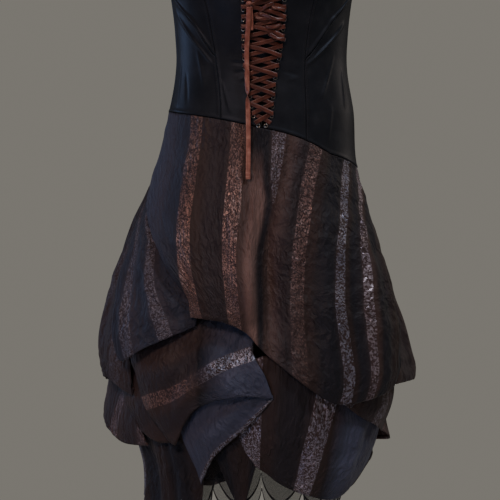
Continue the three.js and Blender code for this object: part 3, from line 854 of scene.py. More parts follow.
def loose_loop(index, from_x, from_z, to_x, to_z, drop, out):
    """Slack lace between two crossings, its ends tucked under them."""
    places = [(0, 3.0), (0.12, 6.5), (0.5, out), (0.88, 6.5), (1, 3.0)]
    route = []
    for share, lift in places:
        z = mix(from_z, to_z, share) - drop * math.sin(math.pi * share)
        route.append(front_point(mix(from_x, to_x, share), z, lift))
    ribbon(f"loose_lace_{index}", route, LOOP_WIDE, upright, steps=30,
           turn=lambda here: 0.35 * np.sin(here[:, 0] / 5))


for index, loop in enumerate(LOOPS):
    loose_loop(index, *loop)
for index, turn in enumerate(KNOT_TURNS):
    knot_turn(index, *turn)
end_to_eyelet("lace_end_left", -21.2, -38, 124)
end_to_eyelet("lace_end_right", -14.2, 43, 124)

# %% [markdown]
# Topstitching holds each seam's allowance down. A stitch is a short rounded bar of thread, and a
# row of them follows the seam on both sides. The thread is near black like the panels, a little
# duller, so it shows as a fine broken line where the light catches the welt.

# %% Topstitching
STITCH_PITCH = 4.0
STITCH_LONG = 2.9
STITCH_THICK = 0.55
STITCH_IN = 3.4
STITCH_PROUD = 0.1


def thread():
    material, tree = start_material("polyester_topstitch_thread")
    shade = ramp(tree, noise(tree, object_place(tree), 1400, 1).outputs[0], (0.3, 0x202126), (0.7, 0x35363B))
    finish_material(tree, {"Roughness": 0.6}, {"Base Color": shade})
    return material


def stitch_rows():
    """Each row of stitches, as points in millimetres along a panel's edge."""
    fine = np.linspace(0.015, 0.985, 400)
    for edges in PANELS.values():
        place = panel_place(*edges)
        wide, long = size_of(place)
        yield place(np.full(400, STITCH_IN / wide), fine)
        yield place(np.full(400, 1 - STITCH_IN / wide), fine)
        yield place(fine, np.full(400, STITCH_IN / long))


def stitch_places(points):
    """Where each stitch of a row is, and the way the row runs there."""
    steps = np.linalg.norm(np.diff(points, axis=0), axis=1)
    run = np.concatenate([[0], np.cumsum(steps)])
    at = np.arange(STITCH_PITCH, run[-1] - STITCH_PITCH, STITCH_PITCH)
    here = np.stack([np.interp(at, run, points[:, k]) for k in range(3)], axis=-1)
    ahead = np.stack([np.interp(at + 1, run, points[:, k]) for k in range(3)], axis=-1)
    return here, ahead - here


def stitched_row(points):
    """One row as its own small mesh, so that adding a stitch never waits on all the others."""
    bm = bmesh.new()
    for here, way in zip(*stitch_places(points)):
        way = Vector(way).normalized()
        out = Vector((here[0], here[1], 0)).normalized()
        side = way.cross(out).normalized()
        made = bmesh.ops.create_uvsphere(bm, u_segments=6, v_segments=3, radius=0.5)
        centre = Vector(here) + out * STITCH_PROUD
        for vert in made["verts"]:
            x, y, z = vert.co
            across = side * x * STITCH_THICK + out * y * STITCH_THICK
            vert.co = (centre + across + way * z * STITCH_LONG) * MM
    return new_mesh("row", bm)


def stitching():
    bm = bmesh.new()
    for points in stitch_rows():
        row = stitched_row(points)
        bm.from_mesh(row)
        bpy.data.meshes.remove(row)
    bmesh.ops.recalc_face_normals(bm, faces=bm.faces)
    print("topstitching faces:", len(bm.faces))
    piece = finish_object("topstitching", new_mesh("topstitching", bm), thread())


stitching()

# %% [markdown]
# The skirt is crinkled polyester taffeta in a dark aubergine that turns to navy and brown in
# bands, with stripes about 22 mm wide, 67 mm apart, woven with metallic lurex, some of it copper
# and some silver. The metallic yarn lies in short floats, so a stripe glitters in specks and
# isn't a plain band. Real floats are some 0.6 mm, and they are drawn at 1.25 mm so that they still
# show as specks. The crinkle is made by heat and pressure: its larger wrinkles are in the mesh,
# and the finest, a network of small facets, is bump. All of it follows each piece's own flat
# cloth, through three UV maps: weave in metres, stripes as a count of stripes with how much lurex
# shows, which on the front is partly painted light and shade, and a third for how silver the
# lurex is and how the ground turns. That turn of the ground is painted light: above zero it turns
# brown where warm light falls and on the lit ridge by the pick-up, below zero slate blue where
# cool light falls.

# %% Crinkled taffeta
STRIPE_APART = 67.0
STRIPE_WIDE = 22.0
FLOAT_SIZE = 1.25
FACET_WIDE = 6.5
FACET_LONG = 16.0
HALF_BAND = STRIPE_WIDE / STRIPE_APART / 2
BAND_SOFT = 0.006


def uv_pair(tree, layer):
    parts = add_node(tree, "ShaderNodeSeparateXYZ", links={0: uv_map(tree, layer)})
    return parts.outputs[0], parts.outputs[1]


def mix_colours(tree, share, first, second):
    return add_node(tree, "ShaderNodeMix", links={0: share, 6: first, 7: second}, data_type="RGBA").outputs[2]


def stripe_band(tree, count):
    """One inside a stripe and zero between stripes, and the place across the repeat."""
    share = maths(tree, "FRACT", maths(tree, "ADD", count, 0.5))
    away = maths(tree, "ABSOLUTE", maths(tree, "SUBTRACT", share, 0.5))
    return map_range(tree, away, from_min=HALF_BAND + BAND_SOFT, from_max=HALF_BAND - BAND_SOFT), share


def stretched(tree, place, across, along):
    return add_node(tree, "ShaderNodeMapping", {"Scale": (across, along, 1)}, {"Vector": place}).outputs[0]


def lurex_floats(tree, weave):
    """A random value for each float of metallic yarn."""
    laid = stretched(tree, weave, 1 / (FLOAT_SIZE * MM), 0.7 / (FLOAT_SIZE * MM))
    cell = add_node(tree, "ShaderNodeTexVoronoi", {"Scale": 1}, {"Vector": laid})
    return add_node(tree, "ShaderNodeSeparateXYZ", links={0: cell.outputs[1]}).outputs[0]


def crush_height(tree, weave):
    """Small facets with ridges between them, in patches."""
    push = noise(tree, weave, 55, 3).outputs[1]
    pushed = add_node(tree, "ShaderNodeVectorMath", {1: (0.013, 0.013, 0)}, {0: push, 2: weave},
                      operation="MULTIPLY_ADD").outputs[0]
    laid = stretched(tree, pushed, 1 / (FACET_WIDE * MM), 1 / (FACET_LONG * MM))
    facets = add_node(tree, "ShaderNodeTexVoronoi", {"Scale": 1, "Detail": 1.5}, {"Vector": laid}).outputs[0]
    patch = map_range(tree, noise(tree, weave, 13, 1).outputs[0], from_min=0.32, from_max=0.62, to_min=0.3)
    return maths(tree, "MULTIPLY", facets, patch)


def taffeta():
    material, tree = start_material("crinkled_lurex_taffeta")
    weave = uv_map(tree)
    count, shown = uv_pair(tree, "stripes")
    silver, tint = uv_pair(tree, "dye")
    band, share = stripe_band(tree, count)
    ground = ramp(
        tree, share, (0.0, 0x1D1D26), (0.25, 0x1A1A22), (0.5 - HALF_BAND, 0x2A2327),
        (0.5 + HALF_BAND, 0x2E2220), (0.5 + HALF_BAND + 0.14, 0x2D2222), (0.9, 0x201D22), (1.0, 0x1D1D26),
    )
    cloud = noise(tree, weave, 14, 4).outputs[0]
    brown = ramp(tree, cloud, (0.3, 0x7A5F59), (0.7, 0x92766E))
    slate = ramp(tree, cloud, (0.3, 0x474D66), (0.7, 0x646C88))
    # The brown and the slate mixed into the ground are painted light: brown for warm light and the lit ridge,
    # slate for cool light.
    ground = mix_colours(tree, map_range(tree, tint), ground, brown)
    ground = mix_colours(tree, map_range(tree, tint, from_max=-1), ground, slate)

    floats = lurex_floats(tree, weave)
    lurex = maths(tree, "MULTIPLY", band, shown)
    shiny = maths(tree, "MULTIPLY", lurex, map_range(tree, floats, from_min=0.38, from_max=0.95))
    copper = ramp(tree, cloud, (0.35, 0x97756C), (0.65, 0xBE9A8D))
    grey = ramp(tree, cloud, (0.35, 0x868AA0), (0.65, 0xB6BACC))
    between = ramp(tree, cloud, (0.3, 0x362A2B), (0.7, 0x4A3A3A))
    cloth = mix_colours(tree, lurex, ground, between)
    cloth = mix_colours(tree, shiny, cloth, mix_colours(tree, silver, copper, grey))
    rough = map_range(tree, shiny, to_min=0.6, to_max=0.42)
    crushed = bump(tree, crush_height(tree, weave), 1, 0.0034)
    finish_material(
        tree,
        {"Sheen Weight": 0.05, "Sheen Roughness": 0.45, "Specular IOR Level": 0.34},
        {"Base Color": cloth, "Metallic": maths(tree, "MULTIPLY", shiny, 0.8), "Roughness": rough,
         "Normal": bump(tree, floats, 0.5, 0.0004, under=crushed)},
    )
    return material


taffeta_cloth = taffeta()
print("made", taffeta_cloth.name)

# %% [markdown]
# Each skirt piece is its own cut. It starts flat, and a small net of places says where its rows
# hang: level by level from its top edge to its hem, a few stations across. The hem turns under by
# a lip. Long soft folds ride on the net, then shorter creases given one by one, then the crinkle,
# whose wrinkles run along the cloth's own stripes. A cloth simulation would drape the pieces
# well, but the photograph's pick-ups and turned hems need their places, so they are listed here.

# %% The nets of the skirt
# A piece is its lip, as how far it turns in and up, and its levels from the top edge to the hem.
# A level is the angles of its stations, their heights and how far out they are. One number stands
# for all stations, "same" for the angles above, and "seam" for the height of the hip seam.
SEAM_OFF = 0.7
LIP_SHARE = 0.05
SKIRT = {
    "front_drape": ((6, 5), [
        ([-91, -55, -24, -6, 6, 36, 74, 86], "seam", [0, 0, 0, 0, 0, 0, 0, -1]),
        ([-84, -52, -24, -6, 4, 34, 70, 81], [-165, -168, -174, -178, -182, -190, -205, -206],
         [0, 2, 5, 4, 0, 3, 2, -1]),
        ([-54, -38, -20, -6, 2, 30, 68, 78], [-250, -262, -270, -275, -280, -290, -290, -290],
         [-1, 6, 10, 18, -9, 5, 6, -2]),
        ([-30, -22, -13, -4, 3, 28, 62, 71], [-332, -342, -348, -345, -350, -372, -376, -372],
         [-1, 8, 12, 22, -14, 4, 9, -2]),
        ([-26, -19, -12, -5, 3, 28, 54, 61], [-370, -374, -379, -393, -426, -490, -476, -460],
         [0, 6, 9, 6, -4, 2, 6, -3]),
    ]),
    "left_puff": ((5, 5), [
        ([-84, -70, -52, -34], [-156, -188, -224, -262], [-2.8, -7, -9, -10]),
        ([-77, -66, -48, -28], [-256, -266, -280, -300], [-5, 1, -4, -10]),
        ([-69, -60, -43, -24], [-330, -335, -345, -350], [-5, 5, 4, -10]),
        ([-62, -56, -40, -24], [-412, -432, -410, -384], [-6, 3, 5, -8]),
    ]),
    "rear_left_puff": ((5, 5), [
        ([-149.88, -125, -106, -95, -84], "seam", [0, 0, 0, -2, -7]),
        ([-149.88, -125, -106, -91, -70], -190, [4, 6, -1, -4, -18]),
        ([-149.88, -128, -106, -88, -60], [-290, -292, -290, -288, -290], [6, 8, -4, -7, -21]),
        ([-149.88, -130, -106, -86, -58], [-366, -380, -385, -375, -380], [4, 10, -2, -6, -20]),
        ([-149.88, -132, -108, -84, -60], [-418, -452, -468, -460, -484], [-2, 6, 0, -8, -19]),
    ]),
    "back_puff": ((5, 5), [
        ([-209.88, -195, -180, -165, -150.12], "seam", 0),
        ("same", -190, [4, 7, 9, 7, 4]),
        ("same", [-290, -292, -294, -292, -290], [6, 14, 18, 14, 6]),
        ("same", [-364, -380, -388, -380, -366], [4, 15, 21, 15, 4]),
        ("same", [-414, -446, -460, -446, -418], [-2, 8, 12, 8, -2]),
    ]),
    "rear_right_puff": ((5, 5), [
        ([80, 94, 110, 130, 149.88], "seam", [-8, -1, 0, 0, 0]),
        ([68, 92, 108, 128, 149.88], [-195, -195, -192, -190, -190], [-17, -4, -3, 2, 4]),
        ([60, 88, 106, 128, 149.88], -290, [-19, -5, -4, 6, 6]),
        ([54, 86, 106, 128, 149.88], [-380, -380, -380, -378, -364], [-19, -3, 0, 8, 4]),
        ([58, 82, 106, 130, 149.88], [-470, -464, -467, -450, -414], [-14, -1, 2, 6, -2]),
    ]),
    "left_flap": ((3, 3), [
        ([-58, -44, -28, -12, -2], [-420, -396, -372, -374, -386], [-18.4, -17, -17, -15, -14]),
        ([-57, -46, -30, -14, -3], [-446, -438, -428, -422, -424], [-18, -10, -9, -7, -10]),
        ([-50, -42, -29, -13, 1], [-500, -496, -478, -460, -456], [-14, -7, -5, -2, -6]),
        ([-42, -36, -24, -9, 4], [-536, -556, -504, -486, -488], [-14, -8, -5, -3, -7]),
    ]),
    "turned_hem": ((2, 3), [
        ([-33, -22, -9, 2], [-492, -482, -468, -476], [-19, -17, -15, -10]),
        ([-33, -24, -12, 2], [-546, -534, -506, -484], [-17, -12, -11, -10]),
        ([-31, -21, -7, 4], [-615, -577, -535, -492], [-17, -11, -10, -11]),
    ]),
    "left_band": ((2, 3), [
        ([-76, -66, -54, -44], [-446, -436, -430, -440], [-30.1, -30, -28, -28]),
        ([-74, -64, -52, -42], [-494, -490, -490, -500], [-29, -24.8, -23, -27]),
        ([-62, -55, -47, -37], [-520, -544, -555, -552], [-23, -19, -19, -25]),
    ]),
    "rear_left_flap": ((2, 3), [
        ([-131.88, -112, -96, -80, -66], [-420, -430, -440, -450, -470], [-20, -12, -13, -36, -38]),
        ([-131.88, -112, -95, -80, -62], [-480, -480, -485, -495, -505], [-8, -10, -10, -30, -35]),
        ([-131.88, -112, -92, -80, -60], [-540, -530, -534, -560, -564], [-4, -4, 0, -10, -27]),
    ]),
    "left_fall": ((1, 1), [
        ([-76, -62, -46, -28], [-530, -528, -525, -520], [-45.8, -43, -38, -31]),
        ([-82, -64, -47, -29], [-600, -604, -600, -594], [-20, -24, -18, -25]),
        ([-79, -62, -48, -32], [-640, -664, -670, -650], [-4, -6, -8, -16]),
    ]),
    "front_fall": ((1, 1), [
        ([-24, -16, -8, 3], [-510, -505, -500, -500], [-29, -29, -26, -22]),
        ([-22, -16, -8, 0], [-570, -570, -570, -560], [-27, -25, -23, -22]),
        ([-20, -14, -9, -5], [-600, -638, -640, -612], [-27, -24, -22.8, -24]),
    ]),
    "front_panel": ((3, 3), [
        ([-10, 8, 28, 48, 64], [-440, -425, -450, -456, -466], [-21, -9.5, -18, -20, -27]),
        ([-9, 8, 30, 53, 70], [-545, -545, -545, -545, -540], [-21, -14, -10, -12, -16]),
        ([-4, 8, 28, 52, 72], [-585, -592, -598, -596, -580], [-20, -11, -6, -8, -16]),
        ([1, 10, 25, 44, 64], [-598, -616, -632, -638, -606], [-18, -12, -8, -8, -14]),
    ]),
    "right_fold": ((2, 2), [
        ([32, 44, 58, 70], [-480, -478, -470, -466], [-8, -13.3, -21.4, -22.3]),
        ([32, 44, 57, 68], [-488, -498, -504, -510], [-6.5, -8, -6, -10]),
        ([31, 43, 56, 68], [-494, -517, -532, -544], [-7.5, -6, -5, -9]),
    ]),
    "right_flap": ((3, 3), [
        ([74, 84, 96, 111.88], [-452, -450, -450, -448], [-36, -38, -38, -38]),
        ("same", -500, [-32, -34, -34, -34]),
        ([75, 86, 96, 111.88], [-542, -554, -560, -564], [-17, -5, -4, -10]),
    ]),
    "right_under_flap": ((1, 1), [
        ([58, 70, 84, 100], -525, [-16.6, -36, -40, -40]),
        ([60, 71, 84, 100], [-575, -570, -560, -560], [-18.6, -30, -32, -33]),
        ([60, 70, 80, 96], [-634, -610, -588, -572], [-26, -22, -20, -24]),
    ]),
    "lower_back_left": ((3, 3), [
        ([-179.88, -164, -148, -132.12], [-400, -398, -396, -410], [-14, -13, -8.5, -18]),
        ("same", -480, [-6, -3, -3, -8]),
        ("same", [-560, -562, -562, -556], [-6, 2, 2, -4]),
        ("same", [-596, -634, -640, -604], [-10, -2, -2, -8]),
    ]),
    "lower_back_right": ((3, 3), [
        ([112.12, 134, 157, 179.88], [-410, -396, -396, -400], [-36, -13, -7.8, -14]),
        ("same", -480, [-32, -9, -3, -6]),
        ("same", [-552, -562, -562, -560], [-16, 0, 2, -6]),
        ("same", [-588, -636, -640, -596], [-16, -4, -2, -10]),
    ]),
}
# Long folds by piece: top deg, top z, bottom deg, bottom z, width in degrees, how far out.
FOLDS = {
    "front_drape": [
        [-44, -120, -20, -370, 7, 4], [-12, -150, -7, -400, 4, 5], [18, -140, 10, -440, 5, 5],
        [34, -170, 24, -500, 6, 5], [60, -190, 46, -500, 6, 6], [74, -170, 58, -470, 5, 7],
    ],
    "left_puff": [[-70, -230, -58, -440, 5, 5], [-54, -260, -34, -420, 5, 6]],
    "rear_left_puff": [
        [-142, -110, -142, -420, 5, 6], [-128, -120, -130, -460, 6, 9], [-112, -110, -112, -480, 6, 6],
        [-96, -130, -94, -470, 5, 5],
    ],
    "back_puff": [
        [-200, -130, -201, -440, 5, 7], [-187, -120, -188, -460, 5, 9], [-173, -120, -172, -460, 5, 9],
        [-160, -130, -159, -440, 5, 7],
    ],
    "rear_right_puff": [
        [88, -170, 84, -470, 5, 5], [102, -150, 100, -480, 6, 6], [118, -150, 120, -470, 6, 8],
        [136, -150, 138, -440, 5, 7],
    ],
    "left_flap": [[-40, -400, -26, -520, 5, 4], [-22, -390, -8, -500, 5, 5]],
    "rear_left_flap": [[-118, -450, -118, -560, 6, 6], [-102, -460, -100, -560, 5, 6]],
    "left_fall": [[-68, -540, -72, -700, 4, 6], [-54, -540, -56, -700, 4, 7], [-40, -540, -42, -700, 3.5, 7]],
    "front_panel": [[4, -500, 6, -640, 5, 5], [26, -500, 24, -660, 6, 5], [50, -500, 46, -660, 6, 6]],
    "lower_back_left": [[-168, -450, -166, -640, 5, 7], [-150, -450, -150, -660, 6, 8]],
    "lower_back_right": [
        [128, -450, 126, -650, 5, 7], [146, -450, 146, -660, 6, 8], [166, -450, 165, -640, 5, 7],
    ],
}

# %% Folds, creases and crinkle
def fold_out(rows, deg, z):
    """How far the folds lift the cloth: soft ridges that fade at both ends."""
    total = 0
    for top_deg, top_z, bottom_deg, bottom_z, wide, out in rows:
        along = np.clip((top_z - z) / (top_z - bottom_z), 0, 1)
        across = (deg - mix(top_deg, bottom_deg, along)) / wide
        total = total + out * np.sin(np.pi * along) * np.exp(-across * across)
    return total


def crinkle(x, y, seed):
    """Crushed cloth, in millimetres out, from millimetres across and along it.

    A broad swell, then ridges and knobs in patches, all longer along the cloth than across it.
    """
    wander = x + 7 * value_noise(x / 40, y / 28, seed)
    swell = value_noise(wander / 30, y / 62, seed + 1)
    ridges = 1 - 2 * np.abs(value_noise(wander / 12, y / 30, seed + 2))
    knobs = value_noise(wander / 8, y / 11, seed + 3)
    patch = np.clip(0.45 + value_noise(x / 48, y / 60, seed + 4), 0, 1)
    return 0.9 * swell + patch * (0.75 * ridges + 0.6 * knobs)


# %% Where the stripes run
# Some pieces have their stripes placed: the angle of some places of the pattern, by height. The
# numbers in the names count stripes. On the front the one from 1.8 to 2.2 tapers away into the
# valley beside the pick-up, because the fold there takes in the cloth.
STRIPES = {
    "front_drape": table("z at_0 at_1 at_1.8 at_2.2 at_3 at_4 at_5", [
        [-70, -43, -13.8, 5.2, 16.4, 38, 78, 99], [-106, -41, -13.6, 5.2, 15.5, 35, 72, 93],
        [-170, -38.3, -13.3, 4.4, 10.5, 26.5, 58, 75], [-206, -36, -12.8, 5.5, 6.3, 22.5, 50, 64],
        [-275, -31.1, -11.7, 0.6, 1.0, 17.6, 39.5, 53.5], [-350, -25, -9.6, 0.4, 0.8, 14.8, 33.6, 48],
        [-410, -20, -8, 0.2, 0.6, 14, 33.1, 45], [-480, -18, -7, -0.4, 0, 13.5, 33.6, 43],
    ]),
    "left_puff": table("z at_0 at_1", [
        [-170, -90, -78], [-205, -81, -69], [-258, -64, -54], [-330, -57, -43.5], [-403, -51.6, -34],
        [-440, -50, -30],
    ]),
    "front_panel": table("z at_0 at_1", [
        [-430, -5, 27.5], [-516, -5.4, 26], [-560, -5.6, 24], [-640, -5.8, 20],
    ]),
}
# Bands that run across a piece: the height of the band's middle, by angle.
BANDS = {
    "left_flap": table("deg z", [[-58, -508], [-42, -494], [-33, -483], [-20, -455], [-11, -435], [0, -420]]),
    "turned_hem": table("deg z", [[-31, -614], [-21, -576], [-7, -534], [4, -491]]),
}
# The other pieces: where the pattern starts across the piece, in mm, and the lean of its stripes.
LAID = {
    "rear_left_puff": [30, 12],
    "back_puff": [0, 4],
    "rear_right_puff": [-28, -8],
    "left_band": [10, 60],
    "rear_left_flap": [20, 20],
    "left_fall": [2, -4],
    "front_fall": [24, 0],
    "right_fold": [-18, 10],
    "right_flap": [10, -8],
    "right_under_flap": [0, 20],
    "lower_back_left": [10, 6],
    "lower_back_right": [40, -6],
}
# Which stripes have lurex that shows, from one count to another, and how strongly.
ALL_STRIPES = [-9, 9, 0.5]
LUREX = {
    "front_drape": [-0.3, 5.4, 1.0],
    "left_puff": [-0.4, 1.4, 0.4],
    "rear_left_puff": [-9, 9, 0.2],
    "back_puff": [-9, 9, 0.5],
    "turned_hem": [-0.06, 0.06, 1.0],
    "front_panel": [-0.4, 1.4, 1.0],
    "rear_right_puff": [0.5, 9, 0.8],
    "left_band": [-0.4, 0.4, 0.5],
    "left_fall": [-0.4, 0.4, 0.7],
    "front_fall": [2, 3, 0],
}
# How silver the lurex is and how brown or, below zero, slate blue the ground, by piece. The brown is painted
# warm light and the slate painted cool light.
SILVER_AND_PAINTED_LIGHT = {
    "left_puff": [0.9, -0.2],
    "rear_left_puff": [0.8, 0.1],
    "rear_right_puff": [0.3, 0.12],
    "turned_hem": [1, -0.55],
    "left_band": [0.9, 0.1],
    "left_fall": [0.9, 0],
    "front_fall": [0.2, 0.0],
    "right_fold": [0.8, 0.1],
    "right_flap": [0.3, 0.25],
    "right_under_flap": [0.3, 0.12],
}
PLAIN_SILVER_AND_PAINTED_LIGHT = [0.4, 0.12]
# The same on the front, by the count of stripes. Its ridge by the pick-up is the brownest, a painted
# highlight on the ridge's lit flank, and that brown fades in below the waist. The slate on its left is
# painted cool light.
FRONT_SILVER_AND_PAINTED_LIGHT = table("count silver brown", [
    [-1.5, 0.6, -0.5], [-0.3, 0.2, -0.2], [0.3, 0.0, 0.08], [0.9, 0.1, 0.1], [1.28, 0.1, 0.3],
    [1.4, 0.1, 0.85], [1.57, 0.1, 0.85], [1.67, 0.4, 0.1], [1.8, 0.8, 0.06], [2.2, 0.9, 0.1],
    [2.4, 0.9, 0.3], [2.65, 0.5, 0.1], [3, 0.1, 0.06], [3.5, 0.3, 0.0], [4, 1.0, 0.0],
    [4.5, 0.6, 0.0], [4.8, 0.6, 0.05], [5.2, 0.6, 0.15], [5.35, 0.4, 0.0],
])
# Where the painted highlight on the ridge lies, in stripe counts, and the height below which it fades in.
RIDGE_COUNTS = [1.2, 1.8]
RIDGE_Z = -120
RIDGE_FADE = 70
# How strongly left_flap's one band shows along it, by angle, where the cloth turns in the light.
FLAP_FADES = table("deg shown", [[-45, 0.8], [-29, 0.6], [-24, 0.1], [-19, 0.5], [-14, 1.4], [0, 1.5]])
FLAP_BAND = 0.4
# How much of each of the front's stripes shows by height: painted shade where they sink into the folds'
# shadow, and painted light where one stands in the light.
FRONT_LUREX_PAINTED_LIGHT = table("z at_0 at_1 at_2 at_3 at_4 at_5", [
    [-80, 0.5, 0.65, 0.5, 0.45, 0.8, 0.9], [-150, 0.6, 0.75, 0.5, 0.55, 0.9, 1.2],
    [-196, 0.8, 1, 0.3, 0.7, 0.95, 1.3], [-215, 0.9, 1, 0, 0.8, 0.95, 1.3],
    [-300, 1, 1.1, 0, 0.7, 0.95, 1.4], [-350, 0.9, 1, 0, 0.3, 0.8, 1.3],
    [-480, 0.8, 0.8, 0, 0.15, 0.7, 0.8],
])


def fade(value, start, over):
    """From 0 at the start to 1 past it."""
    return np.clip((value - start) / over, 0, 1)


def placed_count(rows, deg, z):
    """How many stripes across a piece a place is, from the angles of its stripes."""
    names = list(rows)[1:]
    counts = [float(name.removeprefix("at_")) for name in names]
    middles = [look_up(rows, "z", name, z) for name in names]
    count = np.zeros(np.shape(deg))
    last = len(middles) - 2
    for k in range(last + 1):
        low, high = middles[k], middles[k + 1]
        inside = ((deg >= low) | (k == 0)) & ((deg < high) | (k == last))
        count = np.where(inside, mix(counts[k], counts[k + 1], (deg - low) / (high - low)), count)
    return count


def stripe_count(name, deg, z, x, y):
    """How many stripes across the pattern a place is. x and y are millimetres on the flat cloth."""
    if name in STRIPES:
        return placed_count(STRIPES[name], deg, z)
    if name in BANDS:
        return (look_up(BANDS[name], "deg", "z", deg) - z) / STRIPE_APART
    first, bias = LAID[name]
    lean = math.radians(bias)
    return (first + x * math.cos(lean) + y * math.sin(lean)) / STRIPE_APART


def lurex_shown(name, deg, count, z):
    low, high, strength = LUREX.get(name, ALL_STRIPES)
    if name == "left_flap":
        strength = look_up(FLAP_FADES, "deg", "shown", deg) * (np.abs(count) < FLAP_BAND)
    # On the front the lurex's strength is painted light and shade, by stripe and height.
    if name == "front_drape":
        fades = np.stack([look_up(FRONT_LUREX_PAINTED_LIGHT, "z", f"at_{k}", z) for k in range(6)])
        strength = np.take_along_axis(fades, np.clip(np.round(count), 0, 5).astype(int)[None], axis=0)[0]
    return strength * ((count > low) & (count < high))


def dye_of(name, deg, z, count):
    """How silver a place is, and its painted light: brown for warm light, slate for cool. left_flap and
    front_panel turn slate to their right, painted cool light.
    """
    if name == "front_drape":
        silver, brown = (look_up(FRONT_SILVER_AND_PAINTED_LIGHT, "count", column, count) for column in ("silver", "brown"))
        on_ridge = (count > RIDGE_COUNTS[0]) & (count < RIDGE_COUNTS[1])
        return silver, brown * np.where(on_ridge, fade(-z, -RIDGE_Z, RIDGE_FADE), 1)
    if name == "left_flap":
        return fade(deg, -26, 8), 0.1 - 0.72 * fade(deg, -24, 12)
    if name == "front_panel":
        return 0.8 + 0 * deg, 0.03 - 0.6 * fade(deg, 31, 9)
    silver, brown = SILVER_AND_PAINTED_LIGHT.get(name, PLAIN_SILVER_AND_PAINTED_LIGHT)
    return silver + 0 * deg, brown + 0 * deg


# %% Where the creases of each piece lie
# Short creases by piece: from deg, from z, to deg, to z, wide, out.
SKIRT_CREASES = {
    "front_drape": [
        [-2.5, -190, -3.2, -372, 7, 9], [3, -190, 3.6, -400, 5, -5], [-47, -250, -28, -338, 7, 7],
        [-30, -300, -24, -345, 6, -3], [12, -150, 9, -470, 9, 2.5], [24, -170, 19, -480, 10, -3],
        [62, -190, 52, -420, 8, 4], [46, -230, 38, -440, 9, -3], [-48, -110, -40, -190, 9, 2],
        [-24, -100, -22, -210, 8, -1.5],
    ],
    "left_puff": [
        [-70, -200, -46, -330, 9, 4], [-60, -210, -38, -330, 8, -4], [-66, -300, -54, -400, 9, 4],
        [-52, -300, -42, -400, 8, -3], [-44, -300, -30, -370, 7, 3],
    ],
    "left_flap": [
        [-34, -530, -10, -400, 9, 5], [-40, -510, -20, -395, 8, -4], [-22, -505, -6, -410, 8, -3],
        [-14, -480, -3, -400, 7, 3],
    ],
    "turned_hem": [[-28, -580, -2, -486, 8, 3], [-26, -540, -8, -486, 7, -3]],
    "front_panel": [
        [6, -470, 10, -600, 8, 3], [18, -470, 18, -610, 9, -3], [40, -480, 34, -620, 9, 3],
        [58, -500, 50, -600, 8, -3],
    ],
    "rear_left_puff": [
        [-96, -180, -86, -420, 8, 4], [-88, -260, -80, -450, 7, -4], [-118, -150, -122, -430, 10, -4],
        [-136, -160, -134, -400, 10, 4],
    ],
    "rear_right_puff": [
        [90, -190, 82, -450, 7, 4], [84, -280, 76, -460, 7, -3], [112, -160, 114, -430, 10, -4],
        [124, -160, 128, -430, 9, 4], [142, -170, 140, -380, 9, -3],
    ],
    "back_puff": [
        [-194, -140, -192, -420, 9, -4], [-180, -150, -181, -440, 9, 4],
        [-166, -140, -168, -420, 9, -4],
    ],
    "left_fall": [[-72, -560, -74, -660, 6, 4], [-48, -560, -50, -670, 6, 4]],
    "lower_back_left": [
        [-172, -420, -172, -610, 9, -4], [-158, -420, -157, -620, 9, 4],
        [-142, -440, -141, -610, 8, -3],
    ],
    "lower_back_right": [
        [120, -430, 122, -600, 8, -3], [138, -420, 138, -620, 9, 4], [156, -420, 156, -620, 9, -4],
        [172, -430, 171, -600, 8, 3],
    ],
}
# How strongly each piece is crushed at its left and at its right.
CRUSH = {
    "front_drape": [1, 3.6],
    "rear_right_puff": [2.2, 1.4],
    "rear_left_puff": [2.0, 2.8],
    "left_puff": [2.6, 1.8],
    "right_flap": [2, 1.5],
}
PLAIN_CRUSH = [1.7, 1.7]
TOP_CALM = 8
CLOTH_STEP = 2.6
CLOTH_WALL = 0.8


def net_levels(lip, levels):
    """The net's angles, heights and distances out, level by level, with the lip's edge last."""
    degs, zs, outs = [], [], []
    for deg, z, out in levels:
        deg = degs[-1] if deg == "same" else deg
        z = hip_seam_z(deg) - SEAM_OFF if z == "seam" else z
        for rows, row in ((degs, deg), (zs, z), (outs, out)):
            rows.append(np.broadcast_to(np.array(row, float), len(deg)))
    turn_in, turn_up = lip
    ends = (degs[-1], zs[-1] + turn_up, outs[-1] - turn_in)
    return [np.vstack([*rows, end]) for rows, end in zip((degs, zs, outs), ends)]


def net_value(rows, u, place):
    stations = rows.shape[1] - 1
    return spline(np.stack([spline(row, u * stations) for row in rows]), place)


def net_place(levels, v):
    body = levels - 2
    return np.where(v < 1 - LIP_SHARE, v / (1 - LIP_SHARE) * body, body + (v - 1 + LIP_SHARE) / LIP_SHARE)


def drape(name, lip, levels):
    """The angle, height and distance out of a skirt piece's cloth, for shares across and down."""
    degs, zs, outs = net_levels(lip, levels)

    def on_dress(u, v):
        place = net_place(len(degs), v)
        deg = net_value(degs, u, place)
        z = net_value(zs, u, place)
        if levels[0][1] == "seam":
            off = hip_seam_z(deg) - SEAM_OFF - spline(zs[0], u * (degs.shape[1] - 1))
            z = z + np.where(place < 1, off * (1 - place), 0)
        out = net_value(outs, u, place) + fold_out(FOLDS.get(name, []), deg, z)
        return deg, z, out + crease_out(SKIRT_CREASES.get(name, []), deg, z)

    return on_dress


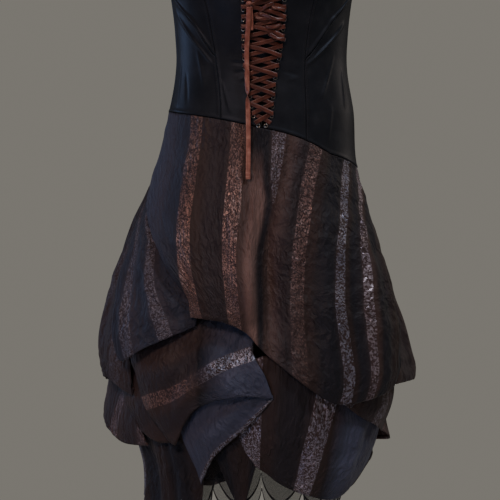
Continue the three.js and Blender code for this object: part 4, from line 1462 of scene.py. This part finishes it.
# %% The skirt's cloth
def skirt_piece(name, lip, levels, seed):
    on_dress = drape(name, lip, levels)
    wide, long = size_of(lambda u, v: form_point(*on_dress(u, v)))

    def stripes(u, v):
        deg, z, _ = on_dress(u, v)
        count = stripe_count(name, deg, z, u * wide, v * long)
        return count, lurex_shown(name, deg, count, z)

    # How silver the lurex is, and the ground's painted light: brown for warm light, slate for cool.
    def dye(u, v):
        deg, z, _ = on_dress(u, v)
        return dye_of(name, deg, z, stripes(u, v)[0])

    def place(u, v):
        deg, z, out = on_dress(u, v)
        left, right = CRUSH.get(name, PLAIN_CRUSH)
        strength = fade(v * long, 0, TOP_CALM) * mix(left, right, u**3)
        return form_point(deg, z, out + strength * crinkle(u * wide, v * long, seed))

    across, down = round(wide / CLOTH_STEP), round(long / CLOTH_STEP)
    mesh = flat_cut("cloth_" + name, across, down, place,
                    weave=in_metres(wide, long), stripes=stripes, dye=dye)
    cloth = finish_object("cloth_" + name, mesh, taffeta_cloth)
    add_wall(cloth, CLOTH_WALL)
    declare_sheet(cloth, place, name)
    return across * down


faces = sum(skirt_piece(name, *net, 11 * index) for index, (name, net) in enumerate(SKIRT.items()))
print("skirt faces:", faces)

# %% [markdown]
# The underskirt is sheer organza, a plain open weave of fine black yarn. It lets the light
# through darkened, so its shader is partly transparent, with the threads varying the coverage a
# little. Its hem is cut in petals and bound with a narrow folded strip of the same cloth, which
# is twice as thick there and reads as a dark line.

# %% Sheer organza
THREAD_APART = 1.3


def organza(name, cover=None):
    """cover is the least and the most that the yarn hides, or None where the cloth hides all."""
    material, tree = start_material(name)
    weave = uv_map(tree)
    shade = ramp(tree, noise(tree, weave, 30).outputs[0], (0.3, 0x1B1B1E), (0.7, 0x2E2E31))
    links = {"Base Color": shade}
    if cover:
        yarn = noise(tree, weave, 1 / (THREAD_APART * MM)).outputs[0]
        links["Alpha"] = map_range(tree, yarn, from_min=0.3, from_max=0.7, to_min=cover[0], to_max=cover[1])
    finish_material(tree, {"Roughness": 0.7, "Sheen Weight": 0.2}, links)
    return material


sheer = organza("sheer_organza", (0.2, 0.36))
binding_cloth = organza("folded_organza_binding")

# %% The underskirt and its bound hem
NET = {"top_up": 6, "crowd": 2, "hem_z": -618, "petals": 12, "petal": 52, "waves": 2.5,
       "across": 160, "down": 80}
NET_HANG = table("below in", [[0, 5.1], [6, 11], [40, 20], [60, 24], [240, 44], [640, 46]])
NET_WALL = 0.35
BINDING = 4.6
BINDING_STEPS = 399
# Round the folded strip: how far up the cloth, in shares of the strip, and how far out.
AROUND = [(0.5, -1), (0, -1), (-1, -0.5), (-1, 0), (-1, 0.5), (0, 1), (0.5, 1)]


def net_hem_z(deg):
    petal = np.abs(np.sin(np.pi * NET["petals"] * (deg % 360) / 360))
    return NET["hem_z"] - NET["petal"] * np.sqrt(petal)


def underskirt_place(from_deg, to_deg):
    def place(u, v):
        deg = mix(from_deg, to_deg, u)
        top = hip_seam_z(deg) + NET["top_up"]
        z = mix(top, net_hem_z(deg), v ** NET["crowd"])
        inwards = look_up(NET_HANG, "below", "in", top - z)
        waves = NET["waves"] * v**2 * np.sin(np.radians(deg) * 19 + 1.3 * np.sin(np.radians(deg) * 5))
        return form_point(deg, z, waves - inwards)

    return place


def bound_hem(name, place):
    """A folded strip along the hem: a flat grid wrapped round its edge."""
    share = np.linspace(0, 1, BINDING_STEPS + 1)
    line = place(share, np.full(len(share), 1.0))
    up = place(share, np.full(len(share), 0.99)) - line
    up = up / np.linalg.norm(up, axis=1, keepdims=True)
    bm = bmesh.new()
    bmesh.ops.create_grid(bm, x_segments=BINDING_STEPS, y_segments=len(AROUND) - 1, size=0.5)
    for vert in bm.verts:
        i = round((vert.co.x + 0.5) * BINDING_STEPS)
        rise, side = AROUND[round((vert.co.y + 0.5) * (len(AROUND) - 1))]
        out = Vector((line[i][0], line[i][1], 0)).normalized()
        vert.co = (Vector(line[i]) + Vector(up[i]) * rise * BINDING * 0.6 + out * side * 0.5) * MM
    bmesh.ops.recalc_face_normals(bm, faces=bm.faces)
    piece = finish_object(name, new_mesh(name, bm), binding_cloth)
    add_wall(piece, 0.3, 0)


def underskirt(name, from_deg, to_deg):
    place = underskirt_place(from_deg, to_deg)
    wide, long = size_of(place)
    mesh = flat_cut("cloth_" + name, NET["across"], NET["down"], place, weave=in_metres(wide, long))
    piece = finish_object("cloth_" + name, mesh, sheer)
    add_wall(piece, NET_WALL)
    declare_sheet(piece, place, name)
    bound_hem("binding_" + name, place)


underskirt("underskirt_front", -89.8, 89.8)
underskirt("underskirt_back", 90.2, 269.8)

# %% [markdown]
# The picture's light is dim and mixed. A warm light from the upper left in front and a cool one
# from low on the same side give the skirt its brown and its navy. A small cool one high on the
# right draws narrow highlights on the leather's ridges. Weak ones from both sides edge the
# outline, and a broad one lights the back for views from there. The world is a plain grey that is
# dimmer as light than it looks as backdrop, and a plain pale floor lies below the hem.

# %% Floor and light
FLOOR_Z = -1.05
FLOOR_RADIUS = 2.9
WORLD_LIGHT = 0.38
AIM = Vector((0, 0, -0.3))
LIGHTS = {
    # place, size in metres, watts, colour
    "cool_left": ((-2.6, 0.9, 0.2), 0.9, 10, 0xB4CCFF),
    "warm_right": ((2.4, 1.2, 0.6), 0.8, 5, 0xFFEBDC),
    "warm_front": ((-1.2, -2.6, 1.5), 0.9, 27, 0xFFD6C6),
    "cool_low": ((-1.6, -2.3, -1.1), 0.9, 12, 0xA9C4FF),
    "ceiling": ((1.4, -1.3, 2.3), 0.4, 26, 0xF2F4FF),
    "back_soft": ((0.3, 2.8, 1.2), 1.8, 18, 0xF0F0FF),
}


def floor():
    bm = bmesh.new()
    bmesh.ops.create_circle(bm, cap_ends=True, segments=96, radius=FLOOR_RADIUS)
    bmesh.ops.translate(bm, verts=bm.verts, vec=(0, 0, FLOOR_Z))
    mesh = new_mesh("floor", bm)
    material, tree = start_material("matt_paper_floor")
    shade = ramp(tree, noise(tree, object_place(tree), 3).outputs[0], (0.3, 0xC9C6BF), (0.7, 0xCFCCC5))
    finish_material(tree, {"Roughness": 0.9}, {"Base Color": shade})
    mesh.materials.append(material)
    add_object("floor", mesh)


def area_light(name, place, size, power, hex_value):
    data = bpy.data.lights.new(name, "AREA")
    data.shape = "DISK"
    data.size = size
    data.energy = power
    data.color = colour(hex_value)[:3]
    light = add_object(name, data)
    light.location = place
    light.rotation_euler = (AIM - Vector(place)).to_track_quat("-Z", "Y").to_euler()


floor()
for name, light in LIGHTS.items():
    area_light(name, *light)

world = bpy.data.worlds.new("studio")
world.use_nodes = True
sky = world.node_tree
sky.nodes.clear()
ray = add_node(sky, "ShaderNodeLightPath").outputs["Is Camera Ray"]
backdrop = add_node(sky, "ShaderNodeBackground", {"Color": colour(0x7A7770)},
                    {"Strength": map_range(sky, ray, to_min=WORLD_LIGHT)})
add_node(sky, "ShaderNodeOutputWorld", links={"Surface": backdrop.outputs[0]})
bpy.context.scene.world = world
